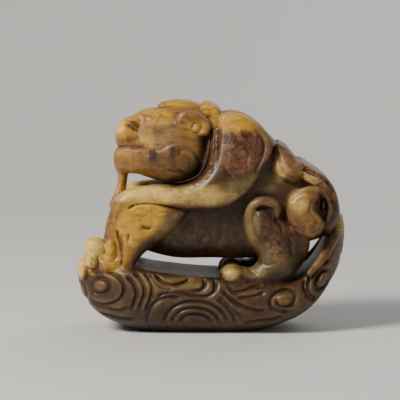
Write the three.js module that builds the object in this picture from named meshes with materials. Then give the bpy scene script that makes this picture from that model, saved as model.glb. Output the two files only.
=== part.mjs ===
// A jade dragon carving: one pebble of jade, cut as a horned beast that crouches on a boat of cloud scrolls.
//
// The beast faces -X, its two sides lie towards -Y and +Y, and +Z is up. Sizes are in millimetres.
// The stone is written as a field, the distance to its skin, negative inside the stone:
//   a form is an outline in the side view (x, z) with a half thickness across Y, its edges rounded over,
//   knuckles, horn, beard and eyes are ellipsoids and tapered strands,
//   scrolls, ribs and hair are strokes, drawn in the side view and sunk into the form they lie on.
// The field is then turned into one closed skin and thinned to a light mesh.
import * as THREE from 'three';
import { SimplifyModifier } from 'three/addons/modifiers/SimplifyModifier.js';
import { edgeTable, triTable } from 'three/addons/objects/MarchingCubes.js';

// Driving dimensions of the whole stone.
const STONE = { left: -40, right: 40, halfWidth: 19, top: 68.5 };
const GRID = 0.62;
const GRID_MARGIN = 2;
const TRIANGLES = 9900;

// Colour of the polished stone.
const JADE = { color: 0xb8955f, roughness: 0.32, metalness: 0 };

const { clamp, smoothstep, lerp, degToRad } = THREE.MathUtils;

// Soft joins and cuts between two distances, over a width k.
const softMin = (a, b, k) => {
  const h = Math.max(k - Math.abs(a - b), 0) / k;
  return Math.min(a, b) - h * h * k * 0.25;
};
const softMax = (a, b, k) => -softMin(-a, -b, k);

// A closed outline in the side view, smooth through its points.
function closedOutline(points, steps = 6) {
  const corners = points.map(([x, z]) => new THREE.Vector3(x, 0, z));
  const curve = new THREE.CatmullRomCurve3(corners, true, 'centripetal');
  return curve.getPoints(points.length * steps).map((p) => [p.x, p.z]);
}

// An open line in the side view, smooth through its points.
function openLine(points, steps = 8) {
  const corners = points.map(([x, z]) => new THREE.Vector3(x, 0, z));
  return new THREE.CatmullRomCurve3(corners).getPoints(points.length * steps).map((p) => [p.x, p.z]);
}

// A spiral or an arc round a centre: it starts at angle `from` and turns by `sweep` degrees as its radius
// goes from r0 to r1. `flat` squeezes it in z, and `tilt` turns the squeezed shape.
function spiral({ at, r0, r1 = r0, from, sweep, flat = 1, tilt = 0 }) {
  const steps = Math.max(8, Math.ceil(Math.abs(sweep) / 12));
  const lean = degToRad(tilt);
  return Array.from({ length: steps + 1 }, (_, i) => {
    const angle = degToRad(from + (sweep * i) / steps);
    const r = lerp(r0, r1, i / steps);
    const u = r * Math.cos(angle);
    const v = r * flat * Math.sin(angle);
    return [at[0] + u * Math.cos(lean) - v * Math.sin(lean), at[1] + u * Math.sin(lean) + v * Math.cos(lean)];
  });
}

// Distance from a point to a segment of the side view, and how far along the segment the nearest point is.
function segmentDistance(x, z, [ax, az], [bx, bz]) {
  const dx = bx - ax;
  const dz = bz - az;
  const along = clamp(((x - ax) * dx + (z - az) * dz) / (dx * dx + dz * dz || 1), 0, 1);
  return [Math.hypot(x - ax - dx * along, z - az - dz * along), along];
}

// Signed distance to a closed outline, negative inside it.
function outlineDistance(ring, x, z) {
  let nearest = Infinity;
  let inside = false;
  for (let i = 1; i < ring.length; i++) {
    const a = ring[i - 1];
    const b = ring[i];
    nearest = Math.min(nearest, segmentDistance(x, z, a, b)[0]);
    if (a[1] > z !== b[1] > z && x < a[0] + ((z - a[1]) * (b[0] - a[0])) / (b[1] - a[1])) inside = !inside;
  }
  return inside ? -nearest : nearest;
}

// A sunk stroke: a line with a width and a depth, which fades out over its two ends. It is a narrow furrow
// whose banks roll over, so that the stone between two strokes swells. Where it leans, to the left (1) or to
// the right (-1) of its line, that bank slopes gently and the other is steep, so that one form lies over the
// next.
const STROKE = { width: 2.5, depth: 1.1, fade: 0.12, lean: 0 };
const STEEP_BANK = 1.6;
const stroke = (line, options = {}) => ({ line, ...STROKE, ...options });

// How far a stroke's bank reaches, on the side of one of its segments that a point lies on.
function bankOf({ width, lean }, x, z, [ax, az], [bx, bz]) {
  const left = (bx - ax) * (z - az) - (bz - az) * (x - ax);
  return lean === 0 || left * lean > 0 ? width : STEEP_BANK;
}

// How deep the strokes cut at a point of the side view. The deepest one counts.
function sunkBy(strokes, x, z) {
  let deepest = 0;
  for (const furrow of strokes) {
    const { line, width, depth, fade } = furrow;
    for (let i = 1; i < line.length; i++) {
      if (Math.abs(line[i][0] - x) > width + 4 || Math.abs(line[i][1] - z) > width + 4) continue;
      const [distance, along] = segmentDistance(x, z, line[i - 1], line[i]);
      const bank = bankOf(furrow, x, z, line[i - 1], line[i]);
      if (distance >= bank) continue;
      const t = (i - 1 + along) / (line.length - 1);
      const end = smoothstep(Math.min(t, 1 - t), -0.02, fade);
      deepest = Math.max(deepest, depth * end * (1 - distance / bank) ** 2);
    }
  }
  return deepest;
}

// How far the domed bosses stand proud at a point of the side view.
function raisedBy(bosses, x, z) {
  return bosses.reduce((high, { at, r, height }) => {
    const t = Math.hypot((x - at[0]) / r[0], (z - at[1]) / r[1]);
    return t < 1 ? Math.max(high, height * Math.sqrt(1 - t * t)) : high;
  }, 0);
}

// A form cut from the side: an outline with a thickness. It is made on both sides of the stone, `centre` away
// from its middle plane. `half` is half the thickness, and `edge` how far its edges are rounded over. These
// are numbers, or functions of (x, z, depth inside the outline). `blend` is how softly it joins the stone.
// Strokes fade out over `margin` beside the outline. `far` has the relief of the side towards +Y where the
// two sides differ, and `ends` has relief drawn in the end view (y, z), on the stone beyond x = +-from.
const form = (points, options) => {
  const { centre = 0, half, edge, blend = 0.8, margin = 0.01 } = options;
  const { strokes = [], bosses = [], far, ends } = options;
  const ring = closedOutline(points);
  const reach = boundsOf(ring);
  const at = (size, ...where) => (typeof size === 'function' ? size(...where) : size);
  return {
    blend,
    column(x, z) {
      if (x < reach.left || x > reach.right || z < reach.low || z > reach.high) return null;
      const outside = outlineDistance(ring, x, z);
      if (outside > 3) return null;
      const depth = Math.max(-outside, 0);
      const thick = at(half, x, z, depth);
      const middle = at(centre, x, z, depth);
      const round = at(edge, x, z, depth);
      const share = smoothstep(depth, 0, margin);
      const near = raisedBy(bosses, x, z) - share * sunkBy(strokes, x, z);
      const away = far ? raisedBy(far.bosses, x, z) - share * sunkBy(far.strokes, x, z) : near;
      const end = ends ? smoothstep(Math.abs(x), ends.from, ends.from + 3) : 0;
      return (y) => {
        let relief = lerp(near, away, smoothstep(y, -1, 1));
        if (end > 0) relief = lerp(relief, -sunkBy(ends.strokes, y, z), end);
        return softMax(outside, Math.abs(Math.abs(y) - middle) - thick, round) - relief;
      };
    },
  };
};

function boundsOf(ring) {
  const xs = ring.map((p) => p[0]);
  const zs = ring.map((p) => p[1]);
  const spare = 3;
  return {
    left: Math.min(...xs) - spare,
    right: Math.max(...xs) + spare,
    low: Math.min(...zs) - spare,
    high: Math.max(...zs) + spare,
  };
}

// An ellipsoid on both sides of the stone, or one in its middle where y is 0, or one on a single side of it.
const BOTH = 0;
const NEAR = -1;
const FAR = 1;
const ellipsoid = ([cx, cy, cz], [rx, ry, rz], blend = 0.6, side = BOTH) => ({
  blend,
  column(x, z) {
    const u = (x - cx) / rx;
    const w = (z - cz) / rz;
    if (Math.abs(u) > 3 || Math.abs(w) > 3) return null;
    return (y) => {
      const v = ((side === BOTH ? Math.abs(y) : y * side) - cy) / ry;
      const size = Math.hypot(u, v, w);
      const slope = Math.hypot(u / rx, v / ry, w / rz) || 1;
      return (size * (size - 1)) / slope;
    };
  },
});

// A strand through points [x, y, z, radius], as it is drawn from the side, `wide` times as wide across Y.
const strand = (points, { wide = 1, blend = 0.6 } = {}) => ({
  blend,
  column(x, z) {
    const reach = 6;
    if (!points.some((p) => Math.abs(p[0] - x) < reach && Math.abs(p[2] - z) < reach)) return null;
    return (y) => {
      let nearest = Infinity;
      for (let i = 1; i < points.length; i++) {
        const [ax, ay, az, ar] = points[i - 1];
        const [bx, by, bz, br] = points[i];
        const d = [bx - ax, (by - ay) / wide, bz - az];
        const p = [x - ax, (Math.abs(y) - ay) / wide, z - az];
        const length2 = d[0] * d[0] + d[1] * d[1] + d[2] * d[2];
        const t = clamp((p[0] * d[0] + p[1] * d[1] + p[2] * d[2]) / length2, 0, 1);
        const away = Math.hypot(p[0] - d[0] * t, p[1] - d[1] * t, p[2] - d[2] * t);
        nearest = Math.min(nearest, away - lerp(ar, br, t));
      }
      return nearest;
    };
  },
});

// The beast's trunk: chest, neck, back and rump in one arch, with ribs on its flanks.
function trunk() {
  const outline = [
    [-1.5, 65], [3.5, 64], [8.5, 63.3], [13, 61.3], [17.5, 58], [20.5, 54.6], [24.5, 51], [29, 47.6],
    [33, 44.6], [35.6, 41], [36.6, 36], [36, 31.5], [33.4, 28], [28, 26], [22, 23.5], [16, 22], [12, 21.5],
    [0, 21.5], [-10.5, 21.5], [-18, 23], [-24, 25], [-28.5, 26], [-30.5, 28], [-29.5, 34], [-28, 39],
    [-23, 41.5], [-15, 42.5], [-9, 44], [-4.5, 47.5], [-2.5, 53], [-2.5, 60],
  ];
  const half = (x, z) => lerp(8, 13, smoothstep(x, -30, -6)) * (1 - 0.2 * smoothstep(z, 48, 64));
  const rib = (x) => stroke(openLine([[x, 24.5], [x + 1.2, 28], [x + 4, 31]]), { depth: 0.45, width: 1.7 });
  return form(outline, { half, edge: 9, strokes: [-13.5, -8.5, -3.5, 1.5].map(rib) });
}

// The skull: crown, brow, cheeks and the heavy jaw.
function skull() {
  const outline = [
    [-22.2, 60], [-22, 63.6], [-20.4, 65], [-18, 65.8], [-13.5, 66.3], [-7.5, 66.6], [-2, 66], [0.2, 64.4],
    [-0.6, 61], [-2, 56], [-2.8, 51.2], [-4.4, 47.8], [-7.4, 45.2], [-12, 44], [-17.5, 45.1], [-22, 46.9],
    [-24, 50], [-22.6, 55],
  ];
  const half = (x, z) => lerp(8.6, 11, smoothstep(x, -21, -9)) * (1 - 0.16 * smoothstep(z, 61, 66));
  const cheekFold = [[-18.2, 54.4], [-15.5, 53.9], [-12.6, 55.4], [-9, 56.4], [-6, 56]];
  const jawCurl = [
    [-9.6, 53.4], [-7.8, 54.1], [-5.5, 53.8], [-3.8, 51.7], [-3.5, 49.4], [-4.9, 47.3], [-7.3, 46.7],
    [-9.6, 48.2],
  ];
  const jawFold = [[-14, 48.2], [-10.2, 47.3], [-6.4, 45.9]];
  const strokes = [
    stroke(openLine([[-21, 54.5], [-19.6, 54], [-18.8, 53], [-17.6, 51.6]]), { fade: 0.05, width: 1.3 }),
    stroke(openLine(cheekFold), { depth: 0.45, width: 1.5 }),
    stroke(openLine(jawCurl), { depth: 0.6, width: 1.4 }),
    stroke(openLine(jawFold), { depth: 0.35, width: 1.4 }),
  ];
  return form(outline, { half, edge: 5.5, blend: 0.5, strokes });
}

// The muzzle: narrower than the skull, with a blunt front, a heavy chin, and lips pinched along the mouth.
const MOUTH = 54.6;
const LIPS = 0.9;
function muzzle() {
  const outline = [
    [-27.5, 54.6], [-28.1, 55.6], [-28.2, 58.2], [-27.8, 60.4], [-26.8, 62], [-25.1, 63.1], [-22.4, 64],
    [-19, 65], [-16, 62], [-16, 52], [-17, 47.5], [-21, 46.6], [-24.8, 46.7], [-27.4, 47], [-28.6, 48.4],
    [-28.9, 50.6], [-28.7, 53], [-28, 54],
  ];
  const half = (x, z) => {
    const jaw = lerp(6.7, 8.4, smoothstep(x, -28, -20));
    const pinch = Math.exp(-(((z - MOUTH) / LIPS) ** 2)) * (1 - smoothstep(x, -21, -19));
    return lerp(jaw, 7.1, smoothstep(z, MOUTH - 1.5, MOUTH + 1.5)) - 0.5 * pinch;
  };
  const mouth = stroke(openLine([[-29, MOUTH], [-25, MOUTH], [-20.5, MOUTH]]), { fade: 0.02, width: 1.3 });
  return form(outline, { half, edge: 3.4, blend: 0.6, strokes: [mouth] });
}

// The parts of the face that stand on the head: nose and nostrils, brows, cheeks and the ridge before them,
// and the slanting eyes.
function face() {
  const cheekRidge = [[-20.2, 7.4, 63.2, 0.8], [-19.9, 8, 60, 1.1], [-20.2, 8, 56.8, 1]];
  const eye = [[-24, 5.7, 61.9, 0.9], [-22.2, 6.1, 60.3, 1]];
  return [
    ellipsoid([-25.4, 0, 59.9], [2.7, 5, 2.5], 1),
    ellipsoid([-27, 3.4, 58], [1.4, 2.1, 1.5], 0.9),
    ellipsoid([-18.4, 5.6, 63.4], [3.8, 3, 1.9], 1.8),
    ellipsoid([-15.6, 7, 59], [5.6, 3, 4.4], 2.4),
    ellipsoid([-10.2, 8.2, 52.4], [7.2, 4, 6.8], 3),
    strand(cheekRidge, { blend: 1.4 }),
    strand(eye, { blend: 0.15 }),
  ];
}

// The sockets that the eyes lie in.
function eyeSockets() {
  return strand([[-24.4, 8.4, 62, 2.3], [-21.9, 8.7, 60.1, 2.3]], { blend: 0.6 });
}

// The nostrils, sunk into the nose.
function nostrils() {
  return ellipsoid([-28.7, 3.6, 58.2], [1, 1, 0.9], 0.4);
}

// The ear: a leaf laid back on the head, with a curl in it.
function ear() {
  const outline = [
    [-9.8, 64.2], [-8.2, 65.4], [-5.6, 65.4], [-2.3, 64.2], [-0.2, 62.4], [0.5, 60.5], [-0.5, 58.7],
    [-2.4, 58], [-4.4, 58.5], [-6.2, 59.6], [-8.8, 59.8], [-10.1, 61.2], [-10.1, 63.2],
  ];
  const turn = { at: [-4.3, 61.3], r0: 1.5, r1: 2.2, from: 215, sweep: -290 };
  const curl = stroke(spiral(turn), { width: 1, depth: 0.9 });
  const half = (x, z, depth) => 2.5 + 0.5 * smoothstep(depth, 0, 1.6);
  return form(outline, { centre: 9.4, half, edge: 1.6, blend: 0.3, strokes: [curl] });
}

// The horns: two round bands laid back along the crown, each with a curled tip over the nape.
function horns() {
  const band = [
    [-15.9, 66.4], [-15.2, 67.4], [-13.5, 68], [-11.5, 68.3], [-9, 68.4], [-6.2, 68], [-3.6, 67.2],
    [-1.4, 66], [-1.2, 64], [-4, 64.4], [-7, 65], [-12.5, 65.2],
  ];
  const tip = [
    [-3.2, 66.4], [-2.4, 67.4], [-0.9, 67.9], [0.9, 67.3], [2.4, 66], [3.4, 64.5], [3.5, 63.3], [2.3, 62.8],
    [0, 63.3], [-2.2, 64.6],
  ];
  return [
    form(band, { centre: 3.4, half: 3.2, edge: 2.3, blend: 0.3 }),
    form(tip, { centre: 4.4, half: 3.2, edge: 2.3, blend: 0.25 }),
  ];
}

// The ruff: a band of hair round the neck, between the jaw and the shoulder.
function ruff() {
  const outline = [
    [-0.9, 56.5], [-1.2, 52.6], [-2, 48.9], [-4.2, 46.3], [-7.6, 44.6], [-13.6, 43.6], [-18, 43], [-19, 41.6],
    [-13.6, 41], [-6, 41.8], [-1.9, 44], [1, 47.1], [3, 51.3], [3.4, 57.4], [3.4, 62], [1.6, 64.4],
    [-0.4, 63.4], [-0.4, 60],
  ];
  const half = (x, z) => lerp(7, 12.5, smoothstep(x, -22, -6)) * (1 - 0.1 * smoothstep(z, 52, 64));
  const underJaw = [
    [0.2, 61], [0.1, 56.5], [-0.3, 52.4], [-1.4, 48.6], [-3.6, 45.7], [-8, 43.8], [-14, 43.1],
  ];
  const byShoulder = [[2.4, 62], [2.4, 57], [2, 52], [0.4, 47.7], [-2.6, 44.6], [-6.8, 42.7], [-14, 42]];
  const strokes = [
    stroke(openLine(underJaw), { depth: 1, width: 1.3 }),
    stroke(openLine(byShoulder), { depth: 0.9, width: 1.2 }),
  ];
  return form(outline, { half, edge: 3.2, blend: 0.3, strokes });
}

// The beard: strands from the chin down to the chest, with open space behind them.
function beard() {
  const middle = [[-26.4, 0, 48.5, 2], [-26.4, 0, 45, 1.4], [-27, 0, 41, 1.5], [-28, 0, 37.5, 1.9]];
  const lock = [[-26.2, 2.6, 48, 1.3], [-26.5, 2.4, 44.5, 1], [-27.6, 3, 40.5, 1.2], [-29, 3.4, 37, 1.3]];
  return [strand(middle, { wide: 1.5, blend: 1.2 }), strand(lock, { blend: 0.4 })];
}

// The shoulder: a broad blade behind the head, which narrows into the upper arm and sweeps down to the elbow.
// It leans in towards the nape.
function shoulder() {
  const outline = [
    [3.2, 64.2], [6.2, 64.9], [9.2, 64.3], [12.2, 62.7], [15, 60.6], [16.9, 58.3], [17.8, 56], [17.9, 54.2],
    [16.9, 51.8], [15, 48.9], [12.7, 45], [10.3, 41.8], [7.4, 39.6], [4, 37.9], [-1.5, 37], [-7, 36.6],
    [-11.9, 37.4], [-16.3, 38.3], [-20.7, 38.4], [-24, 37.4], [-26.8, 35.2], [-28.3, 33], [-28.9, 36.6],
    [-27.8, 40.2], [-24.8, 42.4], [-18, 43.6], [-10.5, 43.8], [-5, 45.2], [-1, 48.2], [1.8, 52.5], [2.8, 58],
  ];
  const centre = (x, z) => lerp(12.2, 8.6, smoothstep(z, 44, 66));
  const half = (x, z, depth) => {
    const blade = smoothstep(x, -8, 2);
    return lerp(4.1, 4.8, blade) + lerp(1.5, 0.7, blade) * smoothstep(depth, 0, 4.5);
  };
  const edge = (x) => lerp(2.4, 1.5, smoothstep(x, -6, 3));
  const bevel = [[11.8, 61.4], [14.6, 58.6], [15.6, 55.6], [14.8, 51.8], [12.2, 47.2]];
  const strokes = [stroke(openLine(bevel), { depth: 0.45, width: 1.3 })];
  return form(outline, { centre, half, edge, blend: 0.4, strokes, margin: 1.2 });
}

// The foreleg: a wide flame of hair behind the shin, the shin, and the paws. The far paw is set back.
function foreleg() {
  const outline = [
    [-28, 37.5], [-25, 40], [-21, 40.6], [-16.5, 40], [-11.5, 38.4], [-6.2, 37.1], [-8, 34.2], [-10, 31.6],
    [-13, 29], [-16.5, 26.2], [-20, 23.4], [-22.5, 20.4], [-25, 18.5], [-27.5, 19.5], [-28, 25], [-28.3, 32],
  ];
  const half = (x, z, depth) => 4.8 + smoothstep(depth, 0, 5);
  const crack = stroke(openLine([[-20.6, 32.3], [-18.8, 31.3], [-17, 31.4]]), { depth: 0.6, width: 1.3 });
  const shin = [
    [-26.6, 12.4, 37.4, 2.5], [-28.4, 12.3, 33, 2.3], [-29.4, 11.8, 28, 2.3], [-30.4, 11, 23, 2.6],
  ];
  return [
    form(outline, { centre: 10.7, half, edge: 2.6, blend: 1.3, strokes: [crack] }),
    strand(shin, { blend: 1.6 }),
    ...paw(NEAR, 0, 0),
    ...paw(FAR, 2, 3.2),
  ];
}

// A paw: its pad, the knuckles behind the toes, and three toes with their claws. It can be set back and down.
function paw(side, back, lower) {
  const pads = [
    [[-30, 11, 20.7], [4.7, 5, 3.3], 0.7],
    [[-32.4, 10.6, 22.8], [4.2, 4.6, 3.6], 0.8],
    [[-29.3, 13.7, 25.2], [2, 2.2, 3.6], 0.5],
    [[-31.4, 11.4, 19.5], [3.6, 4, 2.4], 0.8],
  ];
  const toes = [[13.2, 0, 25.5], [9.4, 0.3, 24.9], [6, 0.3, 24.5]].flatMap(([y, ahead, z]) => [
    [[-34.1 - ahead, y, z], [3.4, 2.5, 3.15], 0.4],
    [[-34.9 - ahead, y + 0.8, z - 3.9], [1.6, 1.8, 2.1], 0.3],
  ]);
  return [...pads, ...toes].map(([[x, y, z], r, blend]) => {
    return ellipsoid([x + back, y, z - lower], r, blend, side);
  });
}

// The hind leg: the thigh with a curled roll round its knee, the hock, and a foot whose toes grip the cloud.
function hindLeg() {
  const outline = [
    [12.3, 37.4], [14.2, 39.7], [17.2, 40.2], [19.8, 39], [21.2, 36], [24, 34.5], [28, 31.5], [29.2, 27],
    [28.2, 22.5], [25.5, 18.5], [21.5, 15.2], [15.5, 14], [10, 13.3], [5.5, 13.4], [3.8, 15.5], [4.4, 18.2],
    [7, 19.8], [10, 19.4], [12.4, 19.6], [14, 22.3], [12.2, 25.5], [10.3, 29], [10, 33.5],
  ];
  const underCurl = (x, z) => 2.4 * smoothstep(x + 0.5 * z, 31, 39);
  const half = (x, z, depth) => 4.6 + 1.3 * smoothstep(depth, 0, 6) - underCurl(x, z);
  const roll = [
    [19, 14.6, 35, 1.1], [19.2, 14.9, 37.4, 1.5], [17.2, 15.1, 38.9, 1.7], [14.2, 15, 38.9, 1.7],
    [12, 14.7, 37.2, 1.6], [11.2, 14.4, 34.2, 1.6], [11.5, 14.2, 30.8, 1.6], [12.9, 14, 27.4, 1.4],
    [15.4, 13.8, 24.8, 1],
  ];
  const insideRoll = [[17.2, 36.8], [14.8, 37.3], [13, 36.4], [12.6, 34], [13.1, 30.4], [14.8, 28]];
  const strokes = [
    stroke(openLine(insideRoll), { depth: 0.9, width: 1.5 }),
    stroke(openLine([[18.7, 35.6], [19.6, 33], [21.6, 30.4]]), { depth: 0.5, width: 1.5 }),
    stroke(openLine([[13, 21.6], [16.5, 20.6], [20, 21.6]]), { depth: 0.3, width: 1.5 }),
  ];
  const toes = [[14.6, 0], [10.8, 0.9], [7.2, 0.2]].map(([y, ahead]) => {
    return ellipsoid([6.6 - ahead, y, 17.2], [3.3, 2.5, 2.9], 0.25);
  });
  return [
    form(outline, { centre: 11.6, half, edge: 3, blend: 0.5, strokes }),
    strand(roll, { blend: 0.8 }),
    ellipsoid([18, 10, 43], [4.8, 3.2, 3.2], 2),
    ...toes,
  ];
}

// The tail: it climbs the rump as one band of hair, lays two lobes on the back and curls over each haunch.
function tail() {
  const band = [
    [26, 51.2], [30.5, 48.8], [34, 46], [36.6, 42.5], [38, 38.5], [38.4, 34], [37.4, 29.8], [35.4, 27.5],
    [33, 29], [33, 34.5], [33, 38.5], [31, 41.5], [28, 43.4], [25.5, 44.6], [24, 45.5], [24.5, 48.5],
  ];
  const lobe = [
    [19.9, 56], [18.3, 54], [17.7, 51], [18.4, 47.8], [20.6, 45.3], [23.7, 44.1], [26.2, 45], [27.2, 47.2],
    [26.3, 50], [24.4, 52.6], [22.2, 55],
  ];
  const curl = [
    [22, 36.8], [22.5, 39.7], [23.8, 41.4], [26, 42.8], [28.7, 43.3], [31, 42.6], [31.7, 41.4], [31.2, 40],
    [30.3, 38.7], [30, 37.2], [30.6, 36.2], [32.1, 34.9], [33, 33.2], [32.6, 31.4], [31.5, 29.8],
    [29.8, 28.8], [27.6, 28.9], [25.6, 29.6], [24, 31.3], [22.7, 33.8],
  ];
  const floor = [
    [29, 43.2], [32.2, 43], [34.7, 41.4], [36.2, 38.3], [36.4, 35], [35.3, 31.9], [32.2, 30.1], [29, 32],
  ];
  const rim = [
    [24.6, 9.4, 47.6, 0.9], [28, 12.2, 46.2, 1.3], [31.6, 13, 44.5, 1.4], [34.4, 12.8, 41.6, 1.4],
    [35.8, 12.4, 38.2, 1.4], [36, 12.2, 34.8, 1.3], [34.8, 12, 31.6, 1.1],
  ];
  const brow = [
    [26.5, 16.6, 42.6, 0.6], [28.6, 17, 43.1, 0.8], [31.4, 16.6, 42.7, 0.9], [33.6, 15.4, 41.1, 0.9],
    [34.8, 14.4, 38.8, 0.9], [35, 13.8, 36.2, 0.9], [34.2, 13.4, 33.8, 0.8],
  ];
  const parting = [[19.9, 53.6], [20.2, 51], [21.4, 48.3], [25.2, 45.4]];
  const seam = [[27.4, 47.4], [31.2, 45.2], [34, 42], [35.6, 38.4]];
  const partings = [stroke(openLine(parting), { depth: 0.5, width: 1.4 })];
  const seams = [stroke(openLine(seam), { depth: 0.5, width: 1.4 })];
  const swell = (x, z, depth) => 5 + 1.2 * smoothstep(depth, 0, 4);
  return [
    form(band, { half: 11, edge: 6, blend: 0.6, strokes: seams }),
    form(lobe, { centre: 7.4, half: swell, edge: 2.6, blend: 0.3, strokes: partings }),
    form(curl, { centre: 12.2, half: 6, edge: 2.4, blend: 0.3 }),
    ellipsoid([26.8, 13.2, 36], [4.4, 5.6, 6.6], 1),
    form(floor, { centre: 10.4, half: 2.6, edge: 1.6, blend: 0.3 }),
    strand(rim, { blend: 0.4 }),
    strand(brow, { blend: 0.3 }),
  ];
}

// The partings of the tail's hair, up the middle of the rump.
function tailPartings() {
  const parting = (y, r) => [
    [24.5, y, 54, r * 0.4], [28, y, 51.6, r], [32.4, y, 49, r], [36.4, y, 45.4, r], [38.6, y, 41, r],
    [39.8, y, 36.6, r * 0.5],
  ];
  return [strand(parting(0, 1.3), { blend: 0.8 }), strand(parting(5.4, 1), { blend: 0.8 })];
}

// The clouds: a boat with a flat underside, its stern curling up behind the beast. The side towards -Y has
// the full pattern of scrolls, and the side towards +Y a plainer one.
function clouds() {
  const outline = [
    [-40, 18.6], [-38.6, 20.6], [-33, 20], [-24, 19.8], [-16, 18.4], [-5, 17.2], [6, 16.6], [16, 15.6],
    [24, 15.8], [28.5, 18], [31.8, 22], [34.4, 26.5], [36.4, 30.5], [38, 34], [39.6, 32.4], [40, 28],
    [39.2, 23], [37.4, 18], [34.4, 13.2], [30.8, 8.8], [26, 5], [19, 1.6], [12, -0.6], [1.5, -1.6],
    [-9, -1.6], [-18, -0.6], [-26, 1.8], [-32.5, 4.8], [-37, 8.8], [-39.4, 13.5],
  ];
  const half = (x, z) => {
    const plan = STONE.halfWidth * (1 - Math.abs(x / 44) ** 5);
    const under = Math.max(10 - z, 0) / 11;
    return plan * (1 - 0.5 * under * under);
  };
  const ends = { from: 33, strokes: endScrolls() };
  return form(outline, { half, edge: 5, blend: 0.4, margin: 2, ...nearScrolls(), far: farScrolls(), ends });
}

// The deck of the clouds, dished under the beast's belly.
function deck() {
  return ellipsoid([-2, 0, 19.8], [23, 15, 4.4], 1.2);
}

// The rolled edges of the clouds: lumps that lift under the toes of the paws, and a roll along the rim of the
// stern.
function cloudRims() {
  const rim = [
    [38.4, 0, 33, 1.3], [37.6, 6, 31.4, 1.4], [35.8, 10.4, 27.4, 1.4], [32.8, 13.6, 22.4, 1.3],
    [29, 15.8, 18.2, 1],
  ];
  return [ellipsoid([-37.7, 5, 17.9], [2, 8.2, 3.3], 1), strand(rim, { blend: 0.5 })];
}

// A spiral or an arc whose inner side lies over its outer side, cut to its full depth over almost all of it.
const scroll = (turns) => stroke(spiral(turns), { fade: 0.05, lean: turns.sweep > 0 ? -1 : 1 });

// A long wave, with its gentle bank on the side that it leans to.
const wave = (points, lean, depth = 1.1) => stroke(openLine(points), { depth, lean });

// The scrolls on the side towards -Y: the spiral on the prow with plumes behind it and tails under it, long
// tongues of cloud over nested arches, a comma with waves that lead to it, and an oval scroll on the stern.
function nearScrolls() {
  const prow = [-32.6, 14.4];
  const prowRing = [-31.6, 13.7];
  const comma = [21.4, 10.6];
  const sternOval = [32.9, 16.1];
  const arches = [[4.9, 4.2, 0.55], [8.3, 4, 0.68]];
  const strokes = [
    scroll({ at: prow, r0: 2.7, r1: 3.4, from: 195, sweep: -350, flat: 0.78 }),
    scroll({ at: prowRing, r0: 6, r1: 6.5, from: 140, sweep: -320, flat: 0.77 }),
    wave([[-24.3, 17.3], [-22.7, 16.2], [-21.5, 14.3], [-21.2, 12.2], [-22, 9.6], [-23, 7.6]], 1),
    wave([[-20.9, 18.5], [-19.2, 16.8], [-18.1, 14.8], [-18, 12.4], [-18.9, 9.8], [-20, 7]], 1),
    wave([[-34.2, 7.6], [-30.2, 6.8], [-26.2, 6.2], [-23, 6.8]], -1, 0.8),
    wave([[-16.5, 18.4], [-15.5, 16.8], [-13.9, 15.5], [-11.3, 14.8], [-8.7, 15.3], [-5.4, 17.3]], 0),
    wave([[-5.4, 17.7], [-3.5, 17.2], [-2, 16.1], [-2, 14.7], [-3.1, 13.6], [-6.4, 13.3]], 1),
    wave([[-1, 17.4], [0.7, 16.5], [1.2, 14.7], [0.6, 12.9], [-1.2, 11.8], [-3.8, 11.5]], 1),
    wave([[-1.6, 11.7], [-4.2, 11.6], [-7.4, 12.3], [-11, 12.7], [-13.9, 12.3], [-15.8, 11.2]], -1),
    ...arches.map(([r0, z, flat]) => scroll({ at: [-4.7, z], r0, from: 178, sweep: -176, flat })),
    wave([[-18.8, 3], [-18.4, 6.6], [-16.9, 9.3], [-14.6, 10.8], [-11.8, 11.4], [-8, 11.2]], 1),
    wave([[1.6, 11], [4.2, 8.9], [6.2, 6.2], [7, 3.2]], 1),
    wave([[3.2, 13.8], [5, 11.6], [7.3, 9.9], [10.5, 8.3], [13.8, 7.5], [16.4, 7.6]], -1),
    wave([[9.4, 3.4], [12, 4], [14.5, 4.4], [17.8, 4.8], [21.6, 5.9]], -1, 0.9),
    scroll({ at: comma, r0: 2.6, r1: 4.9, from: 170, sweep: 400, flat: 0.72, tilt: 16 }),
    scroll({ at: sternOval, r0: 3.1, from: -60, sweep: 350, flat: 0.5, tilt: 58 }),
    scroll({ at: sternOval, r0: 5.9, from: 0, sweep: 200, flat: 0.62, tilt: 55 }),
    wave([[27.6, 16.8], [27.4, 13.9], [28.6, 11.5], [31, 9.7]], -1),
  ];
  const bosses = [
    { at: prow, r: [2.2, 1.6], height: 0.8 },
    { at: comma, r: [2.2, 1.7], height: 0.8 },
    { at: sternOval, r: [1.3, 2.2], height: 0.7 },
  ];
  return { strokes, bosses };
}

// The plainer scrolls on the side towards +Y.
function farScrolls() {
  const bow = [-31, 12.5];
  const middle = [2, 8.5];
  const stern = [28, 11.5];
  const strokes = [
    scroll({ at: bow, r0: 2.5, r1: 6.4, from: 160, sweep: -380, flat: 0.9 }),
    ...[8.8, 12.2].map((r0) => scroll({ at: bow, r0, from: 50, sweep: -100 })),
    scroll({ at: middle, r0: 2.4, r1: 6.6, from: 20, sweep: 380, flat: 0.85 }),
    scroll({ at: middle, r0: 10.2, from: 155, sweep: -130, flat: 0.7 }),
    wave([[-16, 17.6], [-13, 15.2], [-8.5, 15.4]], 0),
    wave([[-20, 5], [-14, 4.4], [-8, 2.4]], -1),
    scroll({ at: stern, r0: 1.9, r1: 5, from: 190, sweep: -390, flat: 0.8, tilt: 30 }),
    wave([[37, 30], [36.4, 25], [34, 20.5]], 0),
  ];
  const bosses = [bow, middle, stern].map((at) => ({ at, r: [2.2, 2], height: 0.6 }));
  return { strokes, bosses };
}

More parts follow.
